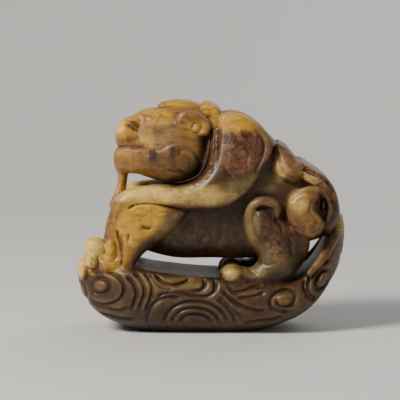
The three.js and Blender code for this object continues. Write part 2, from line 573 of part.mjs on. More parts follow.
// The scrolls round the two ends, drawn in the end view (y, z).
function endScrolls() {
  const eye = (side) => ({ at: [6 * side, 12], r0: 1.6, r1: 4.6, from: 90, sweep: 420 * side, flat: 0.9 });
  return [
    ...[-1, 1].map((side) => scroll(eye(side))),
    ...[3, 5.6].map((r0) => scroll({ at: [0, 3.4], r0, from: 165, sweep: -150, flat: 0.8 })),
    scroll({ at: [0, 26.6], r0: 1.3, r1: 4, from: 250, sweep: 400, flat: 1.2 }),
    wave([[-6.4, 26], [-5.6, 22.6], [-2, 20.4]], 0),
  ];
}

// The whole stone, in the order it is carved: the clouds and their deck, the body and head, and the rest.
const CARVING = [
  { add: [clouds(), ...cloudRims()], cut: [deck()] },
  { add: [trunk(), ruff(), skull(), muzzle()], cut: [eyeSockets()] },
  {
    add: [...face(), ear(), ...horns(), ...beard(), shoulder(), ...foreleg(), ...hindLeg(), ...tail()],
    cut: [nostrils(), ...tailPartings()],
  },
];
// The field's value in open air, far from every form.
const OPEN_AIR = 9;

// The field along one line across the stone: the distance to its skin at a depth y.
function stoneColumn(x, z) {
  const columns = (parts) => parts.map((part) => [part.column(x, z), part.blend]).filter(([at]) => at);
  const steps = CARVING.map(({ add, cut }) => ({ add: columns(add), cut: columns(cut) }));
  return (y) => {
    let distance = OPEN_AIR;
    for (const { add, cut } of steps) {
      for (const [at, blend] of add) distance = softMin(distance, at(y), blend);
      for (const [at, blend] of cut) distance = softMax(distance, -at(y), blend);
    }
    return softMax(distance, -z, 0.4);
  };
}

// The skin of the field as a mesh, by marching cubes over a grid. Each corner is measured once, and each
// crossing on an edge of the grid is one shared vertex.
const NEAR_ZERO = 0.02;
const CORNERS = [[0, 0, 0], [1, 0, 0], [1, 1, 0], [0, 1, 0], [0, 0, 1], [1, 0, 1], [1, 1, 1], [0, 1, 1]];
const EDGES = [
  [0, 1], [1, 2], [3, 2], [0, 3], [4, 5], [5, 6], [7, 6], [4, 7], [0, 4], [1, 5], [2, 6], [3, 7],
];
function skinOfStone() {
  const low = [STONE.left, -STONE.halfWidth, 0].map((v) => v - GRID_MARGIN);
  const high = [STONE.right, STONE.halfWidth, STONE.top].map((v) => v + GRID_MARGIN);
  const count = low.map((v, i) => Math.ceil((high[i] - v) / GRID) + 1);
  const index = (i, j, k) => (i * count[2] + k) * count[1] + j;
  const values = new Float32Array(count[0] * count[1] * count[2]);
  for (let i = 0; i < count[0]; i++) {
    for (let k = 0; k < count[2]; k++) {
      const at = stoneColumn(low[0] + i * GRID, low[2] + k * GRID);
      for (let j = 0; j < count[1]; j++) {
        const value = at(low[1] + j * GRID);
        values[index(i, j, k)] = Math.abs(value) < NEAR_ZERO ? Math.sign(value || 1) * NEAR_ZERO : value;
      }
    }
  }
  const vertexOf = new Map();
  const positions = [];
  const triangles = [];
  const crossing = (cell, [a, b]) => {
    const ends = [a, b].map((c) => CORNERS[c].map((v, axis) => v + cell[axis]));
    const axis = ends[0].findIndex((v, n) => v !== ends[1][n]);
    const key = index(...ends[0]) * 3 + axis;
    if (!vertexOf.has(key)) {
      const [from, to] = ends.map((end) => values[index(...end)]);
      const share = from / (from - to);
      vertexOf.set(key, positions.length / 3);
      positions.push(...ends[0].map((v, n) => low[n] + (v + (n === axis ? share : 0)) * GRID));
    }
    return vertexOf.get(key);
  };
  for (let i = 0; i < count[0] - 1; i++) {
    for (let j = 0; j < count[1] - 1; j++) {
      for (let k = 0; k < count[2] - 1; k++) {
        let inside = 0;
        CORNERS.forEach(([a, b, c], bit) => {
          if (values[index(i + a, j + b, k + c)] < 0) inside |= 1 << bit;
        });
        if (!edgeTable[inside]) continue;
        for (let n = inside * 16; triTable[n] !== -1; n += 3) {
          for (const step of [0, 2, 1]) triangles.push(crossing([i, j, k], EDGES[triTable[n + step]]));
        }
      }
    }
  }
  return meshOf(positions, triangles);
}

// The largest closed shell of a mesh, without the small pockets of air that forms can shut between them.
// Triangles belong to one shell where they share an edge.
function largestShell(mesh) {
  const index = mesh.index.array;
  const position = mesh.getAttribute('position');
  const shell = Array.from({ length: index.length / 3 }, (_, i) => i);
  const shellOf = (i) => {
    while (shell[i] !== i) i = shell[i] = shell[shell[i]];
    return i;
  };
  const edges = new Map();
  index.forEach((from, i) => {
    const to = index[i % 3 === 2 ? i - 2 : i + 1];
    const key = Math.min(from, to) * position.count + Math.max(from, to);
    const face = Math.floor(i / 3);
    if (edges.has(key)) shell[shellOf(face)] = shellOf(edges.get(key));
    else edges.set(key, face);
  });
  const sizes = new Map();
  for (const face of shell) sizes.set(shellOf(face), (sizes.get(shellOf(face)) ?? 0) + 1);
  const [largest] = [...sizes].reduce((a, b) => (b[1] > a[1] ? b : a));
  const renumbered = new Map();
  const positions = [];
  const triangles = [...index].filter((_, i) => shellOf(Math.floor(i / 3)) === largest).map((i) => {
    if (!renumbered.has(i)) {
      renumbered.set(i, positions.length / 3);
      positions.push(position.getX(i), position.getY(i), position.getZ(i));
    }
    return renumbered.get(i);
  });
  return meshOf(positions, triangles);
}

function meshOf(positions, triangles) {
  const mesh = new THREE.BufferGeometry();
  mesh.setAttribute('position', new THREE.Float32BufferAttribute(positions, 3));
  mesh.setIndex(triangles);
  return mesh;
}

// The skin thinned to the given number of triangles, standing on z = 0 with its box centred on the origin.
async function lightSkin() {
  const skin = largestShell(skinOfStone());
  const spare = skin.getAttribute('position').count - TRIANGLES / 2;
  const light = largestShell(await new SimplifyModifier().modify(skin, spare));
  light.computeBoundingBox();
  const { min, max } = light.boundingBox;
  light.translate(-(min.x + max.x) / 2, -(min.y + max.y) / 2, -min.z);
  light.computeVertexNormals();
  return light;
}

const carving = new THREE.Mesh(await lightSkin(), new THREE.MeshStandardMaterial(JADE));
carving.name = 'jade_dragon';

const group = new THREE.Group();
group.add(carving);

export default group;
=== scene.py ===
"""A jade dragon carving: one pebble of honey jade, cut as a horned beast that crouches on a boat of clouds.

The stone is written as a field over a lattice of points: the distance to its skin, negative inside it.
A form is an outline in the side view (x, z) with a half thickness across the stone (y). Knuckles, horns,
beard and eyes are ellipsoids and tapered strands, and furrows, hair lines, cracks and pits are sunk into
what they lie on. The field becomes one closed mesh, which stands for the plain solid of the carving, and
its tints, its grime, its polish and the shade painted deep between its forms are weights on that mesh,
which the jade breaks up with its own grain. Some tint patches are painted shade and painted highlight,
and the polish pales the heights partly as painted highlight.
The beast faces -X, and the side that the camera sees lies towards -Y. The carving is worked out in
millimetres, and the finished piece is in metres.
"""

import logging
import math
from collections.abc import Callable, Sequence
from dataclasses import dataclass, field
from enum import Enum
from functools import cached_property

import bpy
import numpy as np
import openvdb as vdb
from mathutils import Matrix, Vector


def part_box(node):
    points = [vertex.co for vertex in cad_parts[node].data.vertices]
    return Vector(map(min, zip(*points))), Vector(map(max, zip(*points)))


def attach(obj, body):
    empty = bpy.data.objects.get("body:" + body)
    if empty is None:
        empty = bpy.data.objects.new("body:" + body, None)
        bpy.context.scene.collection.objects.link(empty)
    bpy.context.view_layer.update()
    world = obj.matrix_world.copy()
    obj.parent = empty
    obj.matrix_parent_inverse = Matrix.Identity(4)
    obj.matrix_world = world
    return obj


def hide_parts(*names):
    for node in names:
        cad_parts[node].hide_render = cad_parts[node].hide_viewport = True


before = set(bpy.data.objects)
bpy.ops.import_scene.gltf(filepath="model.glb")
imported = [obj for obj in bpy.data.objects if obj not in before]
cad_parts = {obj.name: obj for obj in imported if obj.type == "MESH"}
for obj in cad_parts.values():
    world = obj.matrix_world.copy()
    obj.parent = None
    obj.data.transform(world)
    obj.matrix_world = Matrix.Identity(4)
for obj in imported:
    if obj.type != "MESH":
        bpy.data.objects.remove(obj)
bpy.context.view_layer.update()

LOG = logging.getLogger("jade_dragon")
NODE = "jade_dragon"
MM = 0.001
OPEN_AIR = 9.0
CREASE_WIDTH = 0.62
CREASE_SHARE = 0.3
STEEP_BANK = 0.8
TOOL_TIP = 0.15
PATCH_FULL, PATCH_END = 0.4, 1.5

Array = np.ndarray
Points = Sequence[Sequence[float]]
Size = float | Callable[[Array, Array, Array], Array]
Window = tuple[slice, slice, slice]
Colour = tuple[float, float, float]
Socket = bpy.types.NodeSocket


def smoothstep(value: Array, low: float, high: float) -> Array:
    """Rise smoothly from 0 at low to 1 at high.

    Args:
        value: What is measured.
        low: Where the rise starts.
        high: Where it ends.

    Returns:
        The share, from 0 to 1.
    """
    share = np.clip((value - low) / (high - low), 0, 1)
    return share * share * (3 - 2 * share)


def mix(start: Array, end: Array, share: Array) -> Array:
    """Go from start to end by a share."""
    return start + (end - start) * share


def soft_min(first: Array, second: Array, width: float) -> Array:
    """Join two distances, with a fillet of the given width.

    Args:
        first: One distance.
        second: The other distance.
        width: How wide the fillet between them is.

    Returns:
        The distance to both together.
    """
    share = np.maximum(width - np.abs(first - second), 0) / width
    return np.minimum(first, second) - share * share * (width / 4)


def soft_max(first: Array, second: Array, width: float) -> Array:
    """Keep what two distances share, with its edges rounded over by the given width."""
    return -soft_min(-first, -second, width)


def smooth_curve(points: Points, steps: int, closed: bool) -> Array:
    """Lay a centripetal Catmull-Rom curve through points.

    Args:
        points: The points that it passes through, with any numbers that change along it.
        steps: How many steps it takes from one point to the next.
        closed: Whether it comes back to its first point.

    Returns:
        The points of the curve, one row each.
    """
    corners = np.array(points, float)
    if closed:
        padded = np.vstack([corners[-1:], corners, corners[:2]])
    else:
        padded = np.vstack([2 * corners[0] - corners[1], corners, 2 * corners[-1] - corners[-2]])
    before, start, end, after = padded[:-3], padded[1:-2], padded[2:-1], padded[3:]
    first, middle, last = [
        np.maximum(np.linalg.norm(b - a, axis=1) ** 0.5, 1e-4)[:, None]
        for a, b in [(before, start), (start, end), (end, after)]
    ]
    leave = ((start - before) / first - (end - before) / (first + middle)) * middle + (end - start)
    arrive = (end - start) - ((after - start) / (middle + last) - (after - end) / last) * middle
    t = (np.arange(steps) / steps)[None, :, None]
    start, end, leave, arrive = [a[:, None, :] for a in (start, end, leave, arrive)]
    curve = start + leave * t + (3 * (end - start) - 2 * leave - arrive) * t**2
    curve += (2 * (start - end) + leave + arrive) * t**3
    return np.vstack([curve.reshape(-1, corners.shape[1]), end[-1]])


def line(*points: Sequence[float]) -> Array:
    """Draw an open line in the side view, smooth through its points."""
    return smooth_curve(points, 6, closed=False)


def spiral(at: Sequence[float], r0: float, start: float, sweep: float, r1: float | None = None,
           flat: float = 1, tilt: float = 0) -> Array:
    """Draw a spiral or an arc round a centre.

    Args:
        at: Its centre.
        r0: Its radius at the start.
        start: The angle that it starts at, in degrees.
        sweep: How far it turns, in degrees.
        r1: Its radius at the end, the same as r0 where it isn't given.
        flat: How much it is squeezed in z.
        tilt: How far the squeezed shape is turned, in degrees.

    Returns:
        The points of the line, one row each.
    """
    steps = max(8, math.ceil(abs(sweep) / 10))
    share = np.linspace(0, 1, steps + 1)
    angle = np.radians(start + sweep * share)
    radius = mix(r0, r0 if r1 is None else r1, share)
    u, v = radius * np.cos(angle), radius * flat * np.sin(angle)
    lean = math.radians(tilt)
    x = at[0] + u * math.cos(lean) - v * math.sin(lean)
    z = at[1] + u * math.sin(lean) + v * math.cos(lean)
    return np.stack([x, z], axis=1)


def blurred(values: Array, reach: int) -> Array:
    """Blur a map or a field by taking the mean over a box, twice along each axis.

    Args:
        values: What is blurred.
        reach: How many cells the box reaches to each side.

    Returns:
        The blurred values.
    """
    width = 2 * reach + 1
    for axis in (*range(values.ndim), *range(values.ndim)):
        pad = [(reach + 1, reach) if i == axis else (0, 0) for i in range(values.ndim)]
        total = np.cumsum(np.pad(values, pad, mode="edge"), axis=axis, dtype=np.float64)
        ahead = np.take(total, np.arange(width, total.shape[axis]), axis=axis)
        behind = np.take(total, np.arange(total.shape[axis] - width), axis=axis)
        values = ((ahead - behind) / width).astype(np.float32)
    return values


def segment_distance(x: Array, z: Array, start: Array, end: Array) -> tuple[Array, Array]:
    """Measure the distance to a segment of the side view.

    Args:
        x: Where the points are along the stone.
        z: How high they are.
        start: The first end of the segment.
        end: Its other end.

    Returns:
        The distance, and how far along the segment its nearest point is, from 0 to 1.
    """
    dx, dz = float(end[0] - start[0]), float(end[1] - start[1])
    along = np.clip(((x - start[0]) * dx + (z - start[1]) * dz) / ((dx * dx + dz * dz) or 1), 0, 1)
    return np.hypot(x - start[0] - dx * along, z - start[1] - dz * along), along


def outline_distance(ring: Array, x: Array, z: Array) -> Array:
    """Measure the signed distance to a closed outline, negative inside it.

    Args:
        ring: The outline's points, the last one the same as the first.
        x: Where the columns are along the stone, as a column of numbers.
        z: How high they are, as a row of numbers.

    Returns:
        The distance at each crossing of x and z.
    """
    nearest = np.full((x.shape[0], z.shape[1]), np.inf, np.float32)
    inside = np.zeros(nearest.shape, bool)
    for a, b in zip(ring[:-1], ring[1:]):
        nearest = np.minimum(nearest, segment_distance(x, z, a, b)[0])
        if a[1] != b[1]:
            spans = (a[1] > z) != (b[1] > z)
            inside ^= spans & (x < a[0] + (z - a[1]) * (b[0] - a[0]) / (b[1] - a[1]))
    return np.where(inside, -nearest, nearest)


@dataclass(frozen=True)
class Stroke:
    """A furrow along a line, whose banks roll over, and which fades out over its two ends.

    Where it leans, one bank slopes gently down to it and the other rises steeply, so that the form on
    the steep side lies over its neighbour.
    """

    line: Array
    depth: float = 0.9
    width: float = 1.2
    fade: float = 0.12
    lean: int = 0

    def sink(self, deepest: Array, x: Array, z: Array) -> None:
        """Deepen a map of the relief where the furrow is the deepest cut.

        Args:
            deepest: How deep the relief is cut so far. It is changed in place.
            x: Where the rows of the map are.
            z: Where its columns are.
        """
        count = len(self.line) - 1
        for i, (a, b) in enumerate(zip(self.line[:-1], self.line[1:])):
            rows = slice(*np.searchsorted(x, [min(a[0], b[0]) - self.width, max(a[0], b[0]) + self.width]))
            cols = slice(*np.searchsorted(z, [min(a[1], b[1]) - self.width, max(a[1], b[1]) + self.width]))
            if rows.start >= rows.stop or cols.start >= cols.stop:
                continue
            away, along = segment_distance(x[rows, None], z[None, cols], a, b)
            away = np.hypot(away, TOOL_TIP) - TOOL_TIP
            t = (i + along) / count
            end = smoothstep(np.minimum(t, 1 - t), -0.02, self.fade)
            bank = np.maximum(1 - away / self.reach(x[rows, None], z[None, cols], a, b), 0)
            crease = np.maximum(1 - (away / CREASE_WIDTH) ** 2, 0)
            cut = self.depth * end * ((1 - CREASE_SHARE) * bank * bank + CREASE_SHARE * crease * crease)
            deepest[rows, cols] = np.maximum(deepest[rows, cols], cut)

    def reach(self, x: Array, z: Array, a: Array, b: Array) -> Array | float:
        """Work out how far the bank reaches, on the side of a segment that each place lies on.

        Args:
            x: Where the places are along the stone.
            z: How high they are.
            a: The first end of the segment.
            b: Its other end.

        Returns:
            The width of the bank there.
        """
        if not self.lean:
            return self.width
        left = (b[0] - a[0]) * (z - a[1]) - (b[1] - a[1]) * (x - a[0])
        return np.where(left * self.lean > 0, self.width, STEEP_BANK)


def furrow(*points: Sequence[float], depth: float = 0.9, width: float = 1.2, fade: float = 0.12) -> Stroke:
    """Cut an even furrow along a smooth line."""
    return Stroke(line(*points), depth, width, fade)


@dataclass(frozen=True)
class Boss:
    """A low dome that stands on a form, or a soft hollow sunk in it where its height is negative."""

    at: tuple[float, float]
    r: tuple[float, float]
    height: float

    def raise_on(self, relief: Array, x: Array, z: Array) -> None:
        """Add the dome to a map of the relief, in place."""
        t = np.hypot((x[:, None] - self.at[0]) / self.r[0], (z[None, :] - self.at[1]) / self.r[1])
        relief += self.height * np.maximum(1 - t * t, 0) ** (0.5 if self.height > 0 else 2)


@dataclass(frozen=True)
class Relief:
    """What is cut into one side of a form, and what stands on it."""

    strokes: tuple[Stroke, ...] = ()
    bosses: tuple[Boss, ...] = ()

    def height(self, x: Array, z: Array, share: Array) -> Array:
        """Map how far the relief stands proud.

        Args:
            x: Where the rows of the map are.
            z: Where its columns are.
            share: How much of the strokes shows at each place.

        Returns:
            The height of the relief, negative where it is sunk.
        """
        proud = np.zeros((len(x), len(z)), np.float32)
        sunk = np.zeros_like(proud)
        for boss in self.bosses:
            boss.raise_on(proud, x, z)
        for stroke in self.strokes:
            stroke.sink(sunk, x, z)
        return proud - share * sunk


@dataclass(frozen=True)
class Lattice:
    """The points that the field is measured at."""

    step: float
    low: tuple[float, float, float]
    high: tuple[float, float, float]

    @cached_property
    def axes(self) -> tuple[Array, Array, Array]:
        """Place the points along x, y and z.

        Returns:
            The places along each axis.
        """
        return tuple(
            (low + self.step * np.arange(math.ceil((high - low) / self.step) + 1)).astype(np.float32)
            for low, high in zip(self.low, self.high)
        )

    @property
    def shape(self) -> tuple[int, int, int]:
        """How many points there are along x, y and z."""
        return tuple(len(axis) for axis in self.axes)

    def window(self, low: Sequence[float], high: Sequence[float]) -> Window:
        """Find the part of the lattice that lies in a box.

        Args:
            low: The lowest corner of the box.
            high: Its highest corner.

        Returns:
            The slices of the lattice along x, y and z.
        """
        return tuple(slice(*np.searchsorted(axis, [a, b])) for axis, a, b in zip(self.axes, low, high))

    def read(self, values: Array, points: Array) -> Array:
        """Read a field between the points of the lattice.

        Args:
            values: The field.
            points: The places to read it at, one row each.

        Returns:
            The value at each place, by straight lines between the points around it.
        """
        cell, share = self.cells(points)
        total = np.zeros(len(points), np.float32)
        for corner, weight in self.corners(share):
            total += weight * values[tuple((cell + corner).T)]
        return total

    def cells(self, points: Array) -> tuple[Array, Array]:
        """Find the cell that each place lies in.

        Args:
            points: The places, one row each.

        Returns:
            The cell of each place, and how far across the cell the place is.
        """
        at = (points - np.array(self.low, np.float32)) / self.step
        at = np.clip(at, 0, np.array(self.shape) - 1.001)
        cell = at.astype(int)
        return cell, (at - cell).astype(np.float32)

    @staticmethod
    def corners(share: Array) -> list[tuple[Array, Array]]:
        """Weigh the eight corners of each cell by how near a place is to them."""
        steps = [np.array([i, j, k]) for i in (0, 1) for j in (0, 1) for k in (0, 1)]
        return [(step, np.prod(np.where(step == 1, share, 1 - share), axis=1)) for step in steps]


@dataclass(frozen=True)
class Form:
    """A form cut from the side: an outline with a thickness, on both sides of the stone.

    Its half thickness, its rounded edge and the place of its middle across the stone are numbers, or
    functions of x, z and the depth inside the outline.
    """

    points: Points
    half: Size
    edge: Size
    centre: Size = 0.0
    blend: float = 0.8
    near: Relief = Relief()
    far: Relief | None = None
    ends: tuple[Stroke, ...] = ()
    ends_from: float = 33.0
    margin: float = 0.01
    reach: float = 3.0

    def measure(self, lattice: Lattice) -> tuple[Window, Array]:
        """Measure the distance to the form.

        Args:
            lattice: The points to measure it at.

        Returns:
            The part of the lattice near the form, and the distance at each point of it.
        """
        ring = smooth_curve(self.points, 6, closed=True)
        low, high = ring.min(axis=0) - self.reach, ring.max(axis=0) + self.reach
        window = lattice.window((low[0], lattice.low[1], low[1]), (high[0], lattice.high[1] + 1, high[1]))
        x, y, z = [axis[cut] for axis, cut in zip(lattice.axes, window)]
        outside = outline_distance(ring, x[:, None], z[None, :])
        depth = np.maximum(-outside, 0)
        inside = blurred(depth, 3)
        middle, thick, edge = [self.size(of, x[:, None], z[None, :], inside)[:, None, :]
                               for of in (self.centre, self.half, self.edge)]
        share = smoothstep(depth, 0, self.margin)
        near = self.near.height(x, z, share)[:, None, :]
        relief = near
        if self.far is not None:
            away = self.far.height(x, z, share)[:, None, :]
            relief = mix(near, away, smoothstep(y, -1, 1)[None, :, None])
        if self.ends:
            front = Relief(self.ends).height(y, z, np.float32(1))[None, :, :]
            turned = smoothstep(np.abs(x), self.ends_from, self.ends_from + 3)
            relief = mix(relief, front, turned[:, None, None])
        across = np.abs(np.abs(y)[None, :, None] - middle) - thick
        return window, soft_max(outside[:, None, :], across, edge) - relief

    @staticmethod
    def size(of: Size, x: Array, z: Array, depth: Array) -> Array:
        """Work out a size over the side view, from a number or a function."""
        value = of(x, z, depth) if callable(of) else of
        return np.broadcast_to(np.asarray(value, np.float32), depth.shape)


class Side(Enum):
    """The side of the stone that a form is made on."""

    BOTH = 0
    NEAR = -1
    FAR = 1

    def across(self, y: Array) -> Array:
        """Measure how far out a place is, from the middle of the stone towards this side."""
        return np.abs(y) if self is Side.BOTH else y * self.value


@dataclass(frozen=True)
class Ellipsoid:
    """An ellipsoid on one side of the stone or both, or one in its middle where its y is 0."""

    at: tuple[float, float, float]
    r: tuple[float, float, float]
    blend: float = 0.6
    side: Side = Side.BOTH

    def measure(self, lattice: Lattice) -> tuple[Window, Array]:
        """Measure the distance to the ellipsoid.

        Args:
            lattice: The points to measure it at.

        Returns:
            The part of the lattice near the ellipsoid, and the distance at each point of it.
        """
        at, r = np.array(self.at), np.array(self.r)
        low, high = at - 2.4 * r - 1, at + 2.4 * r + 1
        low[1], high[1] = -high[1], high[1]
        window = lattice.window(low, high)
        x, y, z = [axis[cut] for axis, cut in zip(lattice.axes, window)]
        u = ((x - at[0]) / r[0])[:, None, None]
        v = ((self.side.across(y) - at[1]) / r[1])[None, :, None]
        w = ((z - at[2]) / r[2])[None, None, :]
        size = np.sqrt(u * u + v * v + w * w)
        slope = np.sqrt((u / r[0]) ** 2 + (v / r[1]) ** 2 + (w / r[2]) ** 2)
        return window, size * (size - 1) / np.maximum(slope, 1e-4)


@dataclass(frozen=True)
class Strand:
    """A tapered strand through points (x, y, z, radius), `wide` times as wide across the stone."""

    points: Points
    wide: float = 1.0
    blend: float = 0.6
    reach: float = 4.0

    def measure(self, lattice: Lattice) -> tuple[Window, Array]:
        """Measure the distance to the strand.

        Args:
            lattice: The points to measure it at.

        Returns:
            The part of the lattice near the strand, and the distance at each point of it.
        """
        knots = smooth_curve(self.points, 3, closed=False).astype(np.float32)
        across = self.reach * max(self.wide, 1)
        spare = np.array([self.reach, across, self.reach])
        low, high = knots[:, :3].min(axis=0) - spare, knots[:, :3].max(axis=0) + spare
        low[1] = -high[1]
        window = lattice.window(low, high)
        x, y, z = [axis[cut] for axis, cut in zip(lattice.axes, window)]
        scale = np.array([1, 1 / self.wide, 1], np.float32)
        nearest = np.full([len(axis) for axis in (x, y, z)], OPEN_AIR, np.float32)
        for a, b in zip(knots[:-1], knots[1:]):
            d = (b[:3] - a[:3]) * scale
            px = (x - a[0])[:, None, None]
            py = ((np.abs(y) - a[1]) / self.wide)[None, :, None]
            pz = (z - a[2])[None, None, :]
            t = np.clip((px * d[0] + py * d[1] + pz * d[2]) / float(d @ d), 0, 1)
            away = np.sqrt((px - d[0] * t) ** 2 + (py - d[1] * t) ** 2 + (pz - d[2] * t) ** 2)
            nearest = np.minimum(nearest, away - mix(a[3], b[3], t))
        return window, nearest


Solid = Form | Ellipsoid | Strand


@dataclass(frozen=True)
class Engraving:
    """Lines and domes worked into both sides of the finished stone, on whatever skin lies under them.

    They start at a distance out from the middle of the stone.
    """

    relief: Relief
    start: float = 4.0
    spare: float = 2.5

    def measure(self, lattice: Lattice) -> tuple[Window, Array]:
        """Measure how far the engraving takes the skin back.

        Args:
            lattice: The points to measure it at.

        Returns:
            The part of the lattice that it covers, and what it adds to the distance there.
        """
        marks = [stroke.line for stroke in self.relief.strokes]
        for boss in self.relief.bosses:
            marks += [np.array([boss.at]) + np.array(boss.r) * sign for sign in (-1, 1)]
        places = np.vstack(marks)
        low, high = places.min(axis=0) - self.spare, places.max(axis=0) + self.spare
        window = lattice.window((low[0], lattice.low[1], low[1]), (high[0], lattice.high[1] + 1, high[1]))
        x, y, z = [axis[cut] for axis, cut in zip(lattice.axes, window)]
        height = self.relief.height(x, z, np.float32(1))
        share = smoothstep(np.abs(y), self.start, self.start + 1.5)
        return window, -height[:, None, :] * share[None, :, None]


class Tint(Enum):
    """The tints of the stone, from its polished heights to its stained skin; some patches are painted shade
    and highlight.
    """

    CREAM = "cream"
    GOLD = "gold"
    RUSSET = "russet"
    ROSE = "rose"
    MOSS = "moss"
    UMBER = "umber"


@dataclass(frozen=True)
class StainAndPaintedLight:
    """A soft patch of a tint, mostly a stain, in places painted shade and highlight: a side-view ellipse,
    both sides.
    """

    tint: Tint
    at: tuple[float, float]
    r: tuple[float, float]
    share: float = 1.0
    tilt: float = 0.0

    def weigh(self, points: Array) -> Array:
        """Weigh the patch at each point of the skin.

        Args:
            points: The points, one row each.

        Returns:
            The share of the tint at each point, from 0 to 1.
        """
        lean = math.radians(self.tilt)
        x, z = points[:, 0] - self.at[0], points[:, 2] - self.at[1]
        u = (x * math.cos(lean) + z * math.sin(lean)) / self.r[0]
        v = (z * math.cos(lean) - x * math.sin(lean)) / self.r[1]
        return self.share * smoothstep(np.hypot(u, v), PATCH_END, PATCH_FULL)


@dataclass(frozen=True)
class SubAssembly:
    """A part of the beast or of its clouds: what is added to the stone, what is cut out, its stains and
    painted light.
    """

    def adds(self) -> list[Solid]:
        """Build the forms that are added to the stone."""
        return []

    def cuts(self) -> list[Solid]:
        """Build the hollows that are cut out of the stone."""
        return []

    def engravings(self) -> list[Engraving]:
        """Draw the lines that are worked into the finished stone."""
        return []

    def stains_and_painted_light(self) -> list[StainAndPaintedLight]:
        """Place the stains, and the patches of painted shade and highlight, that dress the forms."""
        return []


@dataclass(frozen=True)
class Clouds(SubAssembly):
    """A boat of cloud scrolls with a flat underside, whose stern curls up behind the beast."""

    half_width: float = 19.0
    plan_length: float = 44.0
    prow: tuple[float, float] = (-32.6, 14.4)
    prow_ring: tuple[float, float] = (-31.6, 13.7)
    arch_x: float = -4.7
    arch_rings: tuple[tuple[float, float, float], ...] = ((4.2, 4.2, 0.5), (6.6, 4.1, 0.62), (9, 4, 0.68))
    comma: tuple[float, float] = (21.4, 10.6)
    stern_oval: tuple[float, float] = (32.9, 16.1)
    outline: Points = (
        (-40, 18.6), (-38.6, 20.6), (-33, 20), (-24, 19.8), (-16, 18.4), (-5, 17.2), (6, 16.6), (16, 15.6),
        (24, 15.8), (28.5, 18), (31.8, 22), (34.4, 26.5), (36.4, 30.5), (38, 34), (39.6, 32.4), (40, 28),
        (39.2, 23), (37.4, 18), (34.4, 13.2), (30.8, 8.8), (26, 5), (19, 1.6), (12, -0.6), (1.5, -1.6),
        (-9, -1.6), (-18, -0.6), (-26, 1.8), (-32.5, 4.8), (-37, 8.8), (-39.4, 13.5),
    )

    def half(self, x: Array, z: Array, depth: Array) -> Array:
        """Work out half the thickness: an oval plan, drawn in under the waist."""
        under = np.maximum(10 - z, 0) / 11
        return self.half_width * (1 - np.abs(x / self.plan_length) ** 5) * (1 - 0.5 * under * under)

    def adds(self) -> list[Solid]:
        """Build the boat of clouds, the lumps under the paws and the roll along the stern.

        Returns:
            The forms.
        """
        rim = [(38.4, 0, 33, 1.3), (37.6, 6, 31.4, 1.4), (35.8, 10.4, 27.4, 1.4), (32.8, 13.6, 22.4, 1.3),
               (29, 15.8, 18.2, 1)]
        boat = Form(self.outline, self.half, edge=5, blend=0.4, margin=2, near=self.near_side(),
                    far=self.far_side(), ends=self.end_scrolls())
        return [boat, Ellipsoid((-37.7, 5, 17.9), (2, 8.2, 3.3), 1), Strand(rim, blend=0.5)]

    def cuts(self) -> list[Solid]:
        """Dish the deck under the beast's belly."""
        return [Ellipsoid((-2, 0, 19.8), (23, 15, 4.4), 1.2)]

    @staticmethod
    def scroll(*at: float, **turns: float) -> Stroke:
        """Cut a spiral or an arc, whose inner side lies over its outer side."""
        lean = -1 if turns["sweep"] > 0 else 1
        return Stroke(spiral(at, **turns), depth=0.8, width=1.8, fade=0.05, lean=lean)

    @staticmethod
    def wave(*points: Sequence[float], lean: int, depth: float = 0.75) -> Stroke:
        """Cut a long wave, with its gentle bank on the side that it leans to."""
        return Stroke(line(*points), depth=depth, width=1.7, lean=lean)

    def near_side(self) -> Relief:
        """Draw the full pattern of scrolls, on the side towards the camera.

        Returns:
            The relief.
        """
        strokes = [
            *self.prow_scroll(),
            *self.cloud_tongues(),
            *self.arches(),
            *self.comma_scroll(),
            *self.stern_scroll(),
        ]
        bosses = [Boss(self.prow, (2.2, 1.6), 0.8), Boss(self.comma, (2.2, 1.7), 0.8),
                  Boss(self.stern_oval, (1.3, 2.2), 0.7)]
        return Relief(tuple(strokes), tuple(bosses))

    def prow_scroll(self) -> list[Stroke]:
        """Draw the spiral on the prow, the plumes behind it and the tails under it.

        Returns:
            The furrows.
        """
        return [
            self.scroll(*self.prow, r0=2.4, r1=3.8, start=195, sweep=-430, flat=0.75),
            self.scroll(*self.prow_ring, r0=6, r1=6.5, start=140, sweep=-320, flat=0.77),
            self.wave((-24.8, 17.1), (-23.3, 16.1), (-22.1, 14.2), (-21.8, 12.2), (-22.6, 9.6), (-23.6, 7.6),
                      lean=1),
            self.wave((-22.6, 18.3), (-20.9, 16.8), (-19.7, 14.8), (-19.5, 12.7), (-20.4, 10), (-21.6, 7),
                      lean=1),
            self.wave((-19.8, 18.6), (-18.2, 16.8), (-17.3, 14.8), (-17.4, 12.2), (-18.3, 9.6), (-19.4, 7),
                      lean=1),
            self.wave((-35, 8.8), (-30.6, 7.8), (-26.7, 7.3), (-24, 8.4), lean=-1, depth=0.6),
            self.wave((-33.4, 6.2), (-29.9, 5.6), (-25.7, 4.8), (-22.2, 5), lean=-1, depth=0.7),
        ]

    def cloud_tongues(self) -> list[Stroke]:
        """Draw the long tongue of cloud amidships, with the smaller ones that lie in it.

        Returns:
            The furrows.
        """
        return [
            furrow((-16.5, 18.4), (-15.5, 16.8), (-13.9, 15.5), (-11.3, 14.8), (-8.7, 15.3), (-6.7, 16.3),
                   (-5.4, 17.3)),
            self.wave((-5.4, 17.7), (-3.5, 17.2), (-2, 16.1), (-2, 14.7), (-3.1, 13.6), (-6.4, 13.3), lean=1),
            self.wave((-1, 17.4), (0.7, 16.5), (1.2, 14.7), (0.6, 12.9), (-1.2, 11.8), (-3.8, 11.5), lean=1),
            self.wave((-1.6, 11.7), (-4.2, 11.6), (-7.4, 12.3), (-11, 12.7), (-13.9, 12.3), (-15.8, 11.2),
                      lean=-1),
            furrow((-18.2, 18.1), (-16.4, 15.8), (-14, 14), (-10.6, 13.5), depth=0.6, width=0.9),
        ]

